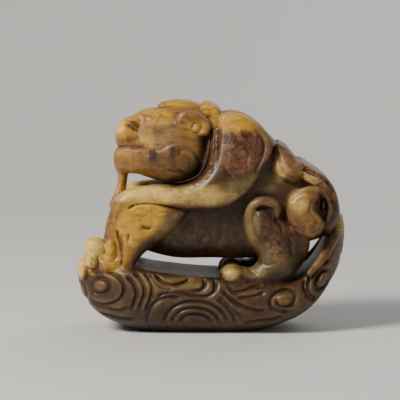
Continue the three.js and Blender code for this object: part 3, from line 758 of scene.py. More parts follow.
    def arches(self) -> list[Stroke]:
        """Draw the nested arches under the tongue, and the wave that sweeps round them.

        Returns:
            The furrows.
        """
        return [
            *[self.scroll(self.arch_x, z, r0=r0, start=178, sweep=-176, flat=flat)
              for r0, z, flat in self.arch_rings],
            self.wave((-18.8, 3), (-18.4, 6.6), (-16.9, 9.3), (-14.6, 10.8), (-11.8, 11.4), (-8, 11.2),
                      lean=1),
            self.wave((1.6, 11), (4.2, 8.9), (6.2, 6.2), (7, 3.2), lean=1),
        ]

    def comma_scroll(self) -> list[Stroke]:
        """Draw the comma near the stern, its ring, and the long waves that lead to it.

        Returns:
            The furrows.
        """
        return [
            self.wave((3.2, 13.8), (5, 11.6), (7.3, 9.9), (10.5, 8.3), (13.8, 7.5), (16.4, 7.6), lean=-1),
            self.wave((2.6, 11.8), (4.6, 9.4), (7.2, 7), (9.6, 4.4), lean=-1, depth=0.6),
            furrow((5, 14.4), (6.6, 12.8), (9.2, 13.2), (12.1, 14.1), (16.4, 14.8), depth=0.6, width=1),
            furrow((7.6, 11.2), (10.5, 11.3), (13.1, 11.8), (15.6, 12.8), depth=0.6, width=1),
            self.wave((9.4, 3.4), (12, 4), (14.5, 4.4), (17.8, 4.8), (21.6, 5.9), lean=-1, depth=0.8),
            self.scroll(*self.comma, r0=2.2, r1=4.8, start=170, sweep=470, flat=0.7, tilt=16),
        ]

    def stern_scroll(self) -> list[Stroke]:
        """Draw the oval scroll on the stern, its ring, and the groove along the rim.

        Returns:
            The furrows.
        """
        return [
            self.scroll(*self.stern_oval, r0=3.1, start=-60, sweep=350, flat=0.5, tilt=58),
            self.scroll(*self.stern_oval, r0=5.9, start=0, sweep=200, flat=0.62, tilt=55),
            self.wave((27.6, 16.8), (27.4, 13.9), (28.6, 11.5), (31, 9.7), lean=-1),
            furrow((39, 29.8), (38.3, 26.8), (37.7, 24.2), (37.6, 21.2), depth=0.6, width=0.9),
            furrow((36.2, 30.4), (35.8, 26.8), (34.2, 23), (31.6, 19.6), depth=0.5, width=0.9),
        ]

    def far_side(self) -> Relief:
        """Draw the plainer scrolls, on the side away from the camera.

        Returns:
            The relief.
        """
        bow, middle, stern = (-31, 12.5), (2, 8.5), (28, 11.5)
        strokes = [
            self.scroll(*bow, r0=2.5, r1=6.4, start=160, sweep=-380, flat=0.9),
            *[self.scroll(*bow, r0=r0, start=50, sweep=-100) for r0 in (8.6, 11, 13.4)],
            self.scroll(*middle, r0=2.4, r1=6.6, start=20, sweep=380, flat=0.85),
            *[self.scroll(*middle, r0=r0, start=155, sweep=-130, flat=0.7) for r0 in (9.2, 11.8)],
            furrow((-16, 17.6), (-13, 15.2), (-8.5, 15.4)),
            self.wave((-20, 5), (-14, 4.4), (-8, 2.4), lean=-1),
            self.scroll(*stern, r0=1.9, r1=5, start=190, sweep=-390, flat=0.8, tilt=30),
            furrow((37, 30), (36.4, 25), (34, 20.5)),
        ]
        return Relief(tuple(strokes), tuple(Boss(at, (2.2, 2), 0.6) for at in (bow, middle, stern)))

    def end_scrolls(self) -> tuple[Stroke, ...]:
        """Draw the scrolls round the two ends, in the end view (y, z).

        Returns:
            The furrows.
        """
        eyes = [self.scroll(6 * side, 12, r0=1.6, r1=4.6, start=90, sweep=420 * side, flat=0.9)
                for side in (-1, 1)]
        return (
            *eyes,
            *[self.scroll(0, 3.4, r0=r0, start=165, sweep=-150, flat=0.8) for r0 in (3, 5.6)],
            self.scroll(0, 26.6, r0=1.3, r1=4, start=250, sweep=400, flat=1.2),
            furrow((-6.4, 26), (-5.6, 22.6), (-2, 20.4)),
        )

    def stains_and_painted_light(self) -> list[StainAndPaintedLight]:
        """Darken the clouds towards their keel, partly their own brown and partly painted shade where the
        light falls off below, and leave their prow pale.

        Returns:
            The stains.
        """
        return [
            # Darker towards the keel: the stone's own brown, and painted shade of the light falling off
            # below.
            StainAndPaintedLight(Tint.UMBER, (2, 6), (60, 18), 1),
            StainAndPaintedLight(Tint.UMBER, (-4, -1), (34, 8), 1),
            StainAndPaintedLight(Tint.CREAM, (-38.6, 19.4), (2.4, 3.6), 0.9),
            StainAndPaintedLight(Tint.MOSS, (-31, 14.6), (3.4, 3), 0.4),
            StainAndPaintedLight(Tint.MOSS, (-19.6, 15.6), (3.4, 3.6), 0.35),
            StainAndPaintedLight(Tint.MOSS, (-8.6, 15.2), (9, 2.6), 0.6),
            StainAndPaintedLight(Tint.RUSSET, (-22.5, 10), (4, 7), 0.5),
            StainAndPaintedLight(Tint.RUSSET, (-8, 12.4), (10, 2), 0.5),
            StainAndPaintedLight(Tint.MOSS, (21.4, 10.6), (4.6, 3.2), 0.5),
            StainAndPaintedLight(Tint.RUSSET, (12, 9), (6, 4), 0.4),
            StainAndPaintedLight(Tint.RUSSET, (36, 26), (4, 9), 0.5),
            StainAndPaintedLight(Tint.CREAM, (38.2, 31.4), (1.8, 3), 0.5),
            StainAndPaintedLight(Tint.MOSS, (37, 28.6), (2.4, 4), 0.6),
        ]


@dataclass(frozen=True)
class Trunk(SubAssembly):
    """Chest, neck, back and rump in one arch, with ribs on the flanks."""

    ribs: tuple[float, ...] = (-13.5, -8.5, -3.5, 1.5)
    chest_half: float = 8.0
    flank_half: float = 13.0
    outline: Points = (
        (-1.5, 65), (3.5, 64), (8.5, 63.3), (13, 61.3), (17.5, 58), (20.5, 54.6), (24.5, 51), (29, 47.6),
        (33, 44.6), (35.6, 41), (36.6, 36), (36, 31.5), (33.4, 28), (28, 26), (22, 23.5), (16, 22),
        (12, 21.5), (0, 21.5), (-10.5, 21.5), (-18, 23), (-24, 25), (-28.5, 26), (-30.5, 28), (-29.5, 34),
        (-28, 39), (-23, 41.5), (-15, 42.5), (-9, 44), (-4.5, 47.5), (-2.5, 53), (-2.5, 60),
    )

    def half(self, x: Array, z: Array, depth: Array) -> Array:
        """Work out half the thickness: narrow at the chest and the neck, broad over the flanks."""
        slimmed = 1 - 0.2 * smoothstep(z, 48, 64)
        return mix(self.chest_half, self.flank_half, smoothstep(x, -30, -6)) * slimmed

    def adds(self) -> list[Solid]:
        """Build the arch of the body.

        Returns:
            The forms.
        """
        rib = [furrow((x, 24.5), (x + 1.2, 28), (x + 4, 31), depth=0.24, width=1.3, fade=0.4)
               for x in self.ribs]
        return [Form(self.outline, self.half, edge=9, near=Relief(tuple(rib)))]

    def stains_and_painted_light(self) -> list[StainAndPaintedLight]:
        """Paint shade on the flank under the legs, on the back under the blade, and at the rump.

        Returns:
            The stains.
        """
        return [
            # Painted shade: the umber patches on the flank, the back and the rump.
            StainAndPaintedLight(Tint.UMBER, (-3, 29), (21, 11), 1),
            StainAndPaintedLight(Tint.UMBER, (12, 46), (13, 13), 0.85),
            StainAndPaintedLight(Tint.UMBER, (36, 33), (4, 8), 0.7),
            StainAndPaintedLight(Tint.MOSS, (14, 44.6), (5, 3.4), 0.6),
        ]


@dataclass(frozen=True)
class Head(SubAssembly):
    """The skull, the muzzle and the face: crown, brows, eyes, cheeks, lips and a heavy jaw."""

    nose_half: float = 7.1
    mouth: float = 54.6
    mouth_pinch: float = 0.2
    skull: Points = (
        (-22.2, 60), (-22, 63.6), (-20.4, 65), (-18, 65.8), (-13.5, 66.3), (-7.5, 66.6), (-2, 66),
        (0.2, 64.4), (-0.6, 61), (-2, 56), (-2.8, 51.2), (-4.4, 47.8), (-7.4, 45.2), (-12, 44),
        (-17.5, 45.1), (-22, 46.9), (-24, 50), (-22.6, 55),
    )
    muzzle: Points = (
        (-27.7, 54.6), (-28.1, 55.6), (-28.2, 58.2), (-27.8, 60.4), (-26.8, 62), (-25.1, 63.1), (-22.4, 64),
        (-19, 65), (-16, 62), (-16, 52), (-17, 47.5), (-21, 46.6), (-24.8, 46.7), (-27.4, 47), (-28.6, 48.4),
        (-28.9, 50.6), (-28.7, 53), (-28.1, 54),
    )

    def skull_half(self, x: Array, z: Array, depth: Array) -> Array:
        """Work out half the thickness of the skull, narrower at the eyes and the crown."""
        return mix(8.6, 11, smoothstep(x, -21, -9)) * (1 - 0.16 * smoothstep(z, 61, 66))

    def muzzle_half(self, x: Array, z: Array, depth: Array) -> Array:
        """Work out half the thickness of the muzzle, which is pinched along the mouth.

        Args:
            x: Where the places are along the stone.
            z: How high they are.
            depth: How deep they are inside the outline. It is not used here.

        Returns:
            Half the thickness at each place.
        """
        jaw = mix(6.7, 8.4, smoothstep(x, -28, -20))
        open_face = mix(jaw, self.nose_half, smoothstep(z, self.mouth - 1.5, self.mouth + 1.5))
        pinch = np.exp(-(((z - self.mouth) / 0.9) ** 2)) * smoothstep(x, -19, -21)
        return open_face - self.mouth_pinch * pinch

    def adds(self) -> list[Solid]:
        """Build the skull and the muzzle, and then the nose, brows, cheeks and eyes on them.

        Returns:
            The forms.
        """
        eye = [(-24, 5.7, 61.9, 0.9), (-22.2, 6.1, 60.3, 1)]
        cheek_ridge = [(-20.2, 7.4, 63.2, 0.8), (-19.9, 8, 60, 1.1), (-20.2, 8, 56.8, 1)]
        return [
            Form(self.skull, self.skull_half, edge=5.5, blend=0.5),
            Form(self.muzzle, self.muzzle_half, edge=3.4, blend=0.6),
            Ellipsoid((-25.4, 0, 59.9), (2.7, 5, 2.5), 1),
            Ellipsoid((-27, 3.4, 58), (1.4, 2.1, 1.5), 0.9),
            Ellipsoid((-18.4, 5.6, 63.4), (3.8, 3, 1.9), 1.8),
            Ellipsoid((-15.6, 7, 59), (5.6, 3, 4.4), 2.4),
            Ellipsoid((-10.2, 8.2, 52.4), (7.2, 4, 6.8), 3),
            Strand(cheek_ridge, blend=1.4),
            Strand(eye, blend=0.15),
        ]

    def engravings(self) -> list[Engraving]:
        """Draw the mouth with its hook, the folds of the cheek, and the curl of hair on the jaw.

        Returns:
            The engravings.
        """
        lips = (
            furrow((-29, 54.5), (-25, 54.6), (-22, 54.6), (-20, 54.3), (-18.8, 53.5), (-18.1, 52.4),
                   depth=0.42, width=0.8, fade=0.08),
            furrow((-17.3, 53.6), (-16.9, 52.6), (-17.1, 51.3), (-18, 50.6), depth=0.22, width=0.6),
            furrow((-15.3, 63.5), (-17.2, 64.8), (-15.6, 65.6), depth=0.25, width=0.6),
            furrow((-24.9, 62.4), (-23.3, 62.5), (-21.8, 61.2), (-20.9, 59.4), depth=0.35, width=0.6),
            furrow((-25, 61.3), (-23.7, 60.2), (-22.4, 59.5), (-20.8, 59.3), depth=0.35, width=0.6),
        )
        cheek = (
            furrow((-18.2, 54.4), (-15.5, 53.9), (-12.6, 55.4), (-9, 56.4), (-6, 56), depth=0.22,
                   width=0.9),
            furrow((-9.6, 53.4), (-7.8, 54.1), (-5.5, 53.8), (-3.8, 51.7), (-3.5, 49.4), (-4.9, 47.3),
                   (-7.3, 46.7), (-9.6, 48.2), depth=0.38, width=0.8, fade=0.05),
            furrow((-7.6, 52.3), (-6.2, 51.4), (-6.2, 49.8), depth=0.2, width=0.7),
            furrow((-10.4, 52.6), (-10.7, 50.6), (-9.9, 48.8), depth=0.25, width=0.7),
            furrow((-14, 48.2), (-10.2, 47.3), (-6.4, 45.9), depth=0.2, width=0.8),
            furrow((-17.6, 50.2), (-15, 48.9), (-12.4, 49.3), depth=0.16, width=1),
        )
        domes = (Boss((-6.6, 50.4), (3, 3.4), 0.25), Boss((-22.6, 57.1), (2.6, 1.6), -0.35))
        return [Engraving(Relief(lips, domes), start=2.5), Engraving(Relief(cheek))]

    def stains_and_painted_light(self) -> list[StainAndPaintedLight]:
        """Pale the nose and the lips, paint highlight on the cheek ridge, paint shade on the jaw, in the eye
        socket and under the nose, and brown the back of the jaw.

        Returns:
            The stains.
        """
        return [
            StainAndPaintedLight(Tint.GOLD, (-26, 60.6), (4, 4), 0.8),
            StainAndPaintedLight(Tint.CREAM, (-27, 60.8), (2, 2.6), 0.6),
            # Painted highlight on the cheek ridge.
            StainAndPaintedLight(Tint.CREAM, (-19.2, 57.6), (3.6, 4.4), 0.4),
            StainAndPaintedLight(Tint.GOLD, (-26, 52.6), (4.4, 1.4), 0.4),
            # Painted shade on the jaw.
            StainAndPaintedLight(Tint.UMBER, (-20, 50), (9, 4), 0.3),
            StainAndPaintedLight(Tint.UMBER, (-9.5, 48.4), (10, 5), 0.5),
            StainAndPaintedLight(Tint.MOSS, (-12.5, 57.6), (7, 4.6), 0.55),
            # Painted shade in the eye socket and under the nose.
            StainAndPaintedLight(Tint.RUSSET, (-23.4, 61), (1.8, 1.3), 0.4, tilt=-40),
            StainAndPaintedLight(Tint.RUSSET, (-25.2, 56.4), (3.6, 1.8), 0.4),
            StainAndPaintedLight(Tint.RUSSET, (-12.6, 53), (7, 1.8), 0.32, tilt=18),
            StainAndPaintedLight(Tint.RUSSET, (-17, 53), (1.5, 1.5), 0.45),
            StainAndPaintedLight(Tint.GOLD, (-17, 64), (7, 3), 0.8),
        ]


@dataclass(frozen=True)
class Ears(SubAssembly):
    """The ears: leaves laid back on the head, with a curl in each."""

    outline: Points = (
        (-9.8, 64.2), (-8.2, 65.4), (-5.6, 65.4), (-2.3, 64.2), (-0.2, 62.4), (0.5, 60.5), (-0.5, 58.7),
        (-2.4, 58), (-4.4, 58.5), (-6.2, 59.6), (-8.8, 59.8), (-10.1, 61.2), (-10.1, 63.2),
    )

    def half(self, x: Array, z: Array, depth: Array) -> Array:
        """Work out half the thickness of the leaf, which is crowned."""
        return 2.3 + 0.4 * smoothstep(depth, 0, 1.2)

    def adds(self) -> list[Solid]:
        """Build the leaf of each ear, with its curl cut in.

        Returns:
            The forms.
        """
        curl = Stroke(spiral((-4.2, 60.6), 1.2, 200, -320, r1=1.6), depth=0.45, width=0.7)
        hollow = furrow((-8.8, 62.6), (-7.4, 62.2), (-6.4, 61.2), depth=0.25, width=0.8)
        bead = Boss((-4.2, 60.6), (0.8, 0.7), 0.25)
        return [Form(self.outline, self.half, edge=1.2, centre=9.3, blend=0.3,
                     near=Relief((curl, hollow), (bead,)))]

    def stains_and_painted_light(self) -> list[StainAndPaintedLight]:
        """Redden the root of the ear and pale its tip.

        Returns:
            The stains.
        """
        return [
            StainAndPaintedLight(Tint.ROSE, (-8.6, 64), (2.6, 2.2), 0.9),
            StainAndPaintedLight(Tint.GOLD, (-4, 60.4), (4, 2.6), 0.6),
        ]


@dataclass(frozen=True)
class Horns(SubAssembly):
    """The horns: two round bands laid back along the crown, each with a curled tip over the nape."""

    band: Points = (
        (-15.9, 66.4), (-15.2, 67.4), (-13.5, 68), (-11.5, 68.3), (-9, 68.4), (-6.2, 68), (-3.6, 67.2),
        (-1.4, 66), (-1.2, 64), (-4, 64.4), (-7, 65), (-12.5, 65.2),
    )
    tip: Points = (
        (-3.2, 66.4), (-2.4, 67.4), (-0.9, 67.9), (0.9, 67.3), (2.4, 66), (3.4, 64.5), (3.5, 63.3),
        (2.3, 62.8), (0, 63.3), (-2.2, 64.6),
    )

    def adds(self) -> list[Solid]:
        """Build the band and the tip of each horn."""
        return [Form(self.band, 3.2, edge=2.3, centre=3.4, blend=0.3),
                Form(self.tip, 3.2, edge=2.3, centre=4.4, blend=0.25)]

    def stains_and_painted_light(self) -> list[StainAndPaintedLight]:
        """Pale the worn top of the horns.

        Returns:
            The stains.
        """
        return [
            StainAndPaintedLight(Tint.GOLD, (0.6, 66.2), (3.4, 2.6), 0.95),
            StainAndPaintedLight(Tint.CREAM, (0.6, 67), (2.4, 1.2), 0.4),
            StainAndPaintedLight(Tint.GOLD, (-9, 68), (7, 1.8), 0.8),
            StainAndPaintedLight(Tint.ROSE, (-15.4, 66.8), (2.4, 1.4), 0.7),
        ]


@dataclass(frozen=True)
class Ruff(SubAssembly):
    """The band of hair round the neck, between the jaw and the shoulder."""

    outline: Points = (
        (-0.9, 56.5), (-1.2, 52.6), (-2, 48.9), (-4.2, 46.3), (-7.6, 44.6), (-13.6, 43.6), (-18, 43),
        (-19, 41.6), (-13.6, 40.4), (-5.4, 40.6), (0, 42.4), (3.6, 45.6), (6, 50.6), (6.8, 57.4), (6.4, 61.4),
        (2.6, 64), (-0.4, 63.4), (-0.4, 60),
    )
    locks: Points = (
        (-9.4, 42.7), (-7, 42.9), (-4.8, 43.8), (-2.9, 45.1), (-1.5, 46.8), (-0.5, 48.8), (0, 51),
        (0.2, 53.2), (0.3, 55.4), (0.3, 57.6), (0.3, 59.8),
    )

    def half(self, x: Array, z: Array, depth: Array) -> Array:
        """Work out half the thickness, narrower under the chin and at the nape."""
        return mix(7, 12.5, smoothstep(x, -22, -6)) * (1 - 0.1 * smoothstep(z, 52, 64))

    def adds(self) -> list[Solid]:
        """Build the band."""
        return [Form(self.outline, self.half, edge=3.2, blend=0.3)]

    def engravings(self) -> list[Engraving]:
        """Draw a furrow along each edge of the band, and the locks of hair between them.

        Returns:
            The engravings.
        """
        strokes = (
            furrow((0.2, 61), (0.1, 56.5), (-0.3, 52.4), (-1.4, 48.6), (-3.6, 45.7), (-8, 43.8),
                   (-14, 43.1), depth=0.6, width=0.8),
            furrow((2.4, 62), (2.4, 57), (2, 52), (0.4, 47.7), (-2.6, 44.6), (-6.8, 42.7), (-14, 42),
                   depth=0.3, width=0.7),
            furrow((1.3, 60.4), (1.2, 57), (1, 53), (-0.2, 49.4), depth=0.35, width=0.6),
            *[furrow((x, z), (x + 1.9, z + 0.9), depth=0.3, width=0.5) for x, z in self.locks],
        )
        return [Engraving(Relief(strokes), start=4)]

    def stains_and_painted_light(self) -> list[StainAndPaintedLight]:
        """Redden the hair behind the jaw, and paint shade on the band just under the jaw."""
        # The umber patch under the jaw is painted shade.
        return [StainAndPaintedLight(Tint.RUSSET, (0.8, 55), (2.6, 8), 0.4), StainAndPaintedLight(Tint.UMBER, (-9, 43.2), (10, 2.2), 0.5)]


@dataclass(frozen=True)
class Beard(SubAssembly):
    """The beard: strands from the chin down to the chest, with open space behind them."""

    middle: Points = ((-26.4, 0, 48.5, 2), (-26.4, 0, 45, 1.4), (-27, 0, 41, 1.5), (-28, 0, 37.5, 1.9))
    lock: Points = ((-26.2, 2.6, 48, 1.3), (-26.5, 2.4, 44.5, 1), (-27.6, 3, 40.5, 1.2), (-29, 3.4, 37, 1.3))

    def adds(self) -> list[Solid]:
        """Build the middle strand and the lock on each side of it."""
        return [Strand(self.middle, wide=1.5, blend=1.2), Strand(self.lock, blend=0.4)]

    def stains_and_painted_light(self) -> list[StainAndPaintedLight]:
        """Gild the strands."""
        return [StainAndPaintedLight(Tint.GOLD, (-27, 43), (2.6, 6), 0.4)]


@dataclass(frozen=True)
class Shoulder(SubAssembly):
    """The shoulder: a broad blade behind the head, which narrows and sweeps down to the elbow."""

    outline: Points = (
        (3.2, 64.2), (6.2, 64.9), (9.2, 64.3), (12.2, 62.7), (15, 60.6), (16.9, 58.3), (17.8, 56),
        (17.9, 54.2), (16.9, 51.8), (15, 48.9), (12.7, 45), (10.3, 41.8), (7.4, 39.6), (4, 37.9),
        (-1.5, 37), (-7, 36.6), (-11.9, 37.4), (-16.3, 38.3), (-20.7, 38.4), (-24, 37.4), (-26.8, 35.2),
        (-28.3, 33), (-28.9, 36.6), (-27.8, 40.2), (-24.8, 42.4), (-18, 43.6), (-10.5, 43.8), (-5, 45.2),
        (-1, 48.2), (1.8, 52.5), (2.8, 58),
    )

    def centre(self, x: Array, z: Array, depth: Array) -> Array:
        """Place the middle of the blade, which leans in towards the nape."""
        return mix(12.2, 8.6, smoothstep(z, 44, 66))

    def half(self, x: Array, z: Array, depth: Array) -> Array:
        """Work out half the thickness: flat over the blade, and round along the arm."""
        blade = smoothstep(x, -8, 2)
        return mix(4.1, 4.8, blade) + mix(1.5, 0.7, blade) * smoothstep(depth, 0, 4.5)

    def edge(self, x: Array, z: Array, depth: Array) -> Array:
        """Work out how far the edge is rounded over: crisp round the blade, and soft along the arm."""
        return mix(2.3, 1.2, smoothstep(x, -6, 3))

    def adds(self) -> list[Solid]:
        """Build the blade and the arm."""
        return [Form(self.outline, self.half, self.edge, self.centre, blend=0.4)]

    def engravings(self) -> list[Engraving]:
        """Draw the bevel along the back of the blade, the line under the arm, and the natural cracks.

        Returns:
            The engravings.
        """
        strokes = (
            furrow((11.8, 61.4), (14.6, 58.6), (15.6, 55.6), (14.8, 51.8), (12.2, 47.2), depth=0.45,
                   width=0.9),
            furrow((9.8, 55.6), (10.9, 52.8), (10.4, 50.2), (11.4, 47.6), depth=0.2, width=0.6),
            furrow((-24.6, 36.8), (-22.8, 38), (-20.5, 38.5), (-16.3, 38.4), (-11.9, 37.5), (-7.5, 36.5),
                   (-4, 36.6), depth=0.5, width=0.8, fade=0.2),
            furrow((3.6, 49.8), (4.8, 48.2), (6.3, 46.5), depth=0.3, width=0.7),
            furrow((4.6, 43.2), (8, 42.6), (11.4, 43.4), depth=0.14, width=0.8),
            furrow((8.4, 50.2), (10.6, 47.8), (11, 45.2), depth=0.16, width=0.8),
        )
        return [Engraving(Relief(strokes), start=6)]

    def stains_and_painted_light(self) -> list[StainAndPaintedLight]:
        """Pale the top of the blade and the sweep of the arm, with a russet patch of skin between them.

        Returns:
            The stains.
        """
        return [
            StainAndPaintedLight(Tint.CREAM, (-19, 41), (9, 3), 0.9),
            StainAndPaintedLight(Tint.CREAM, (-4, 41), (12, 3.6), 0.5),
            StainAndPaintedLight(Tint.MOSS, (-5, 41), (9, 3), 0.4),
            StainAndPaintedLight(Tint.GOLD, (7.4, 62), (6, 3), 1),
            StainAndPaintedLight(Tint.CREAM, (6, 63.8), (4, 1.4), 0.4),
            StainAndPaintedLight(Tint.RUSSET, (8.6, 57.2), (9.4, 3), 0.42, tilt=-12),
            StainAndPaintedLight(Tint.RUSSET, (11, 58.6), (3, 1.3), 0.6, tilt=-25),
            StainAndPaintedLight(Tint.RUSSET, (5.6, 57.8), (2.6, 1), 0.6, tilt=10),
            StainAndPaintedLight(Tint.RUSSET, (12.6, 54.6), (3, 1.2), 0.4, tilt=40),
            StainAndPaintedLight(Tint.RUSSET, (6.4, 54), (3.6, 0.9), 0.6, tilt=14),
            StainAndPaintedLight(Tint.RUSSET, (5, 51.4), (2, 1.2), 0.4, tilt=30),
            StainAndPaintedLight(Tint.RUSSET, (10.4, 50.4), (4.4, 1), 0.5, tilt=35),
            StainAndPaintedLight(Tint.ROSE, (10.4, 53), (10, 6), 0.6),
            StainAndPaintedLight(Tint.MOSS, (4, 42.6), (9, 3.4), 0.6, tilt=16),
        ]


@dataclass(frozen=True)
class Foreleg(SubAssembly):
    """The foreleg: a wide flame of hair behind the shin, the shin, and a paw with three toes and claws."""

    flame: Points = (
        (-28, 37.5), (-25, 40), (-21, 40.6), (-16.5, 40), (-11.5, 38.4), (-6.2, 37.1), (-8, 34.2),
        (-10, 31.6), (-13, 29), (-16.5, 26.2), (-20, 23.4), (-22.5, 20.4), (-25, 18.5), (-27.5, 19.5),
        (-28, 25), (-28.3, 32),
    )
    shin: Points = (
        (-26.6, 12.4, 37.4, 2.5), (-28.4, 12.3, 33, 2.3), (-29.4, 11.8, 28, 2.3), (-30.4, 11, 23, 2.6),
    )
    toes: Points = ((13.2, 0.0, 25.5), (9.2, 0.3, 24.9), (5.6, 0.3, 24.5))
    far_back: float = 2.0
    far_lower: float = 3.2

    def adds(self) -> list[Solid]:
        """Build the flame, the shin and both paws.

        Returns:
            The forms.
        """
        return [
            Form(self.flame, self.flame_half, edge=2.6, centre=10.7, blend=1.3),
            Strand(self.shin, blend=1.6),
            *self.paw(Side.NEAR, 0.0, 0.0),
            *self.paw(Side.FAR, self.far_back, self.far_lower),
        ]

    def flame_half(self, x: Array, z: Array, depth: Array) -> Array:
        """Work out half the thickness of the flame, which swells towards its middle."""
        return 4.8 + 1.0 * smoothstep(depth, 0, 5)

    def paw(self, side: Side, back: float, lower: float) -> list[Solid]:
        """Build one paw: the pad, the knuckles behind the toes, and each toe with its claw.

        Args:
            side: The side that the paw is on.
            back: How far back it is set.
            lower: How much lower it stands.

        Returns:
            The forms of the paw.
        """
        pads = [
            ((-30, 11, 20.7), (4.7, 5, 3.3), 0.7),
            ((-31.7, 10.2, 22.8), (4.2, 4.6, 3.6), 0.8),
            ((-28.2, 12.6, 22.4), (2.2, 2.6, 2.4), 0.8),
            ((-29.3, 13.7, 25.2), (2, 2.3, 3.4), 0.25),
            ((-31.4, 11.4, 19.5), (3.6, 4, 2.4), 0.8),
        ]
        toes = [toe for y, ahead, z in self.toes for toe in (
            ((-34.1 - ahead, y, z), (3.45, 2.7, 3.2), 0.3),
            ((-35 - ahead, y + 1.3, z - 3.8), (1.75, 1.9, 2.3), 0.12),
        )]
        return [Ellipsoid((x + back, y, z - lower), r, blend, side) for (x, y, z), r, blend in pads + toes]

    def engravings(self) -> list[Engraving]:
        """Draw the cracks of the flame, the line beside the shin, and the crease of the pad.

        Returns:
            The engravings.
        """
        strokes = (
            furrow((-20.6, 32.3), (-18.8, 31.3), (-17, 31.4), depth=0.8, width=1.1, fade=0.3),
            furrow((-23.8, 30), (-24.1, 28.8), (-23.9, 27.2), depth=0.55, width=0.8, fade=0.3),
            furrow((-23.8, 37), (-22.8, 38.1), depth=0.3, width=0.7),
            furrow((-19.8, 34.6), (-17.6, 36), (-15.6, 37), depth=0.14, width=0.8),
            furrow((-27.6, 31.4), (-26.9, 28), (-26.2, 25), (-25.8, 22.2), (-26.6, 19.8), depth=0.6,
                   width=0.8),
            furrow((-28.6, 39), (-29.4, 33), (-31, 27.8), depth=0.2, width=0.6),
            furrow((-32.6, 22.8), (-30.6, 21.6), (-28.6, 21.8), (-27.2, 23.4), depth=0.4, width=0.7),
        )
        return [Engraving(Relief(strokes), start=7)]

    def stains_and_painted_light(self) -> list[StainAndPaintedLight]:
        """Gild the flame, and pale the paw.

        Returns:
            The stains.
        """
        return [
            StainAndPaintedLight(Tint.GOLD, (-21, 34), (8, 6), 1, tilt=35),
            StainAndPaintedLight(Tint.MOSS, (-13.6, 32.6), (6, 5), 0.8, tilt=45),
            StainAndPaintedLight(Tint.UMBER, (-13, 30), (3, 5), 0.5, tilt=-40),
            StainAndPaintedLight(Tint.GOLD, (-25, 27), (4, 9), 0.5, tilt=-10),
            StainAndPaintedLight(Tint.UMBER, (-24, 25.4), (2.6, 4.4), 0.4, tilt=-20),
            StainAndPaintedLight(Tint.UMBER, (-30, 20), (4.4, 1.8), 0.45),
            StainAndPaintedLight(Tint.CREAM, (-36, 26), (5, 4), 1),
            StainAndPaintedLight(Tint.CREAM, (-35, 21.6), (1.9, 2.2), 0.9),
            StainAndPaintedLight(Tint.GOLD, (-30, 22.6), (3.4, 5), 0.8),
            StainAndPaintedLight(Tint.RUSSET, (-26.4, 25.4), (0.8, 6), 0.45),
            StainAndPaintedLight(Tint.ROSE, (-29.8, 34), (1.4, 7), 0.6),
        ]


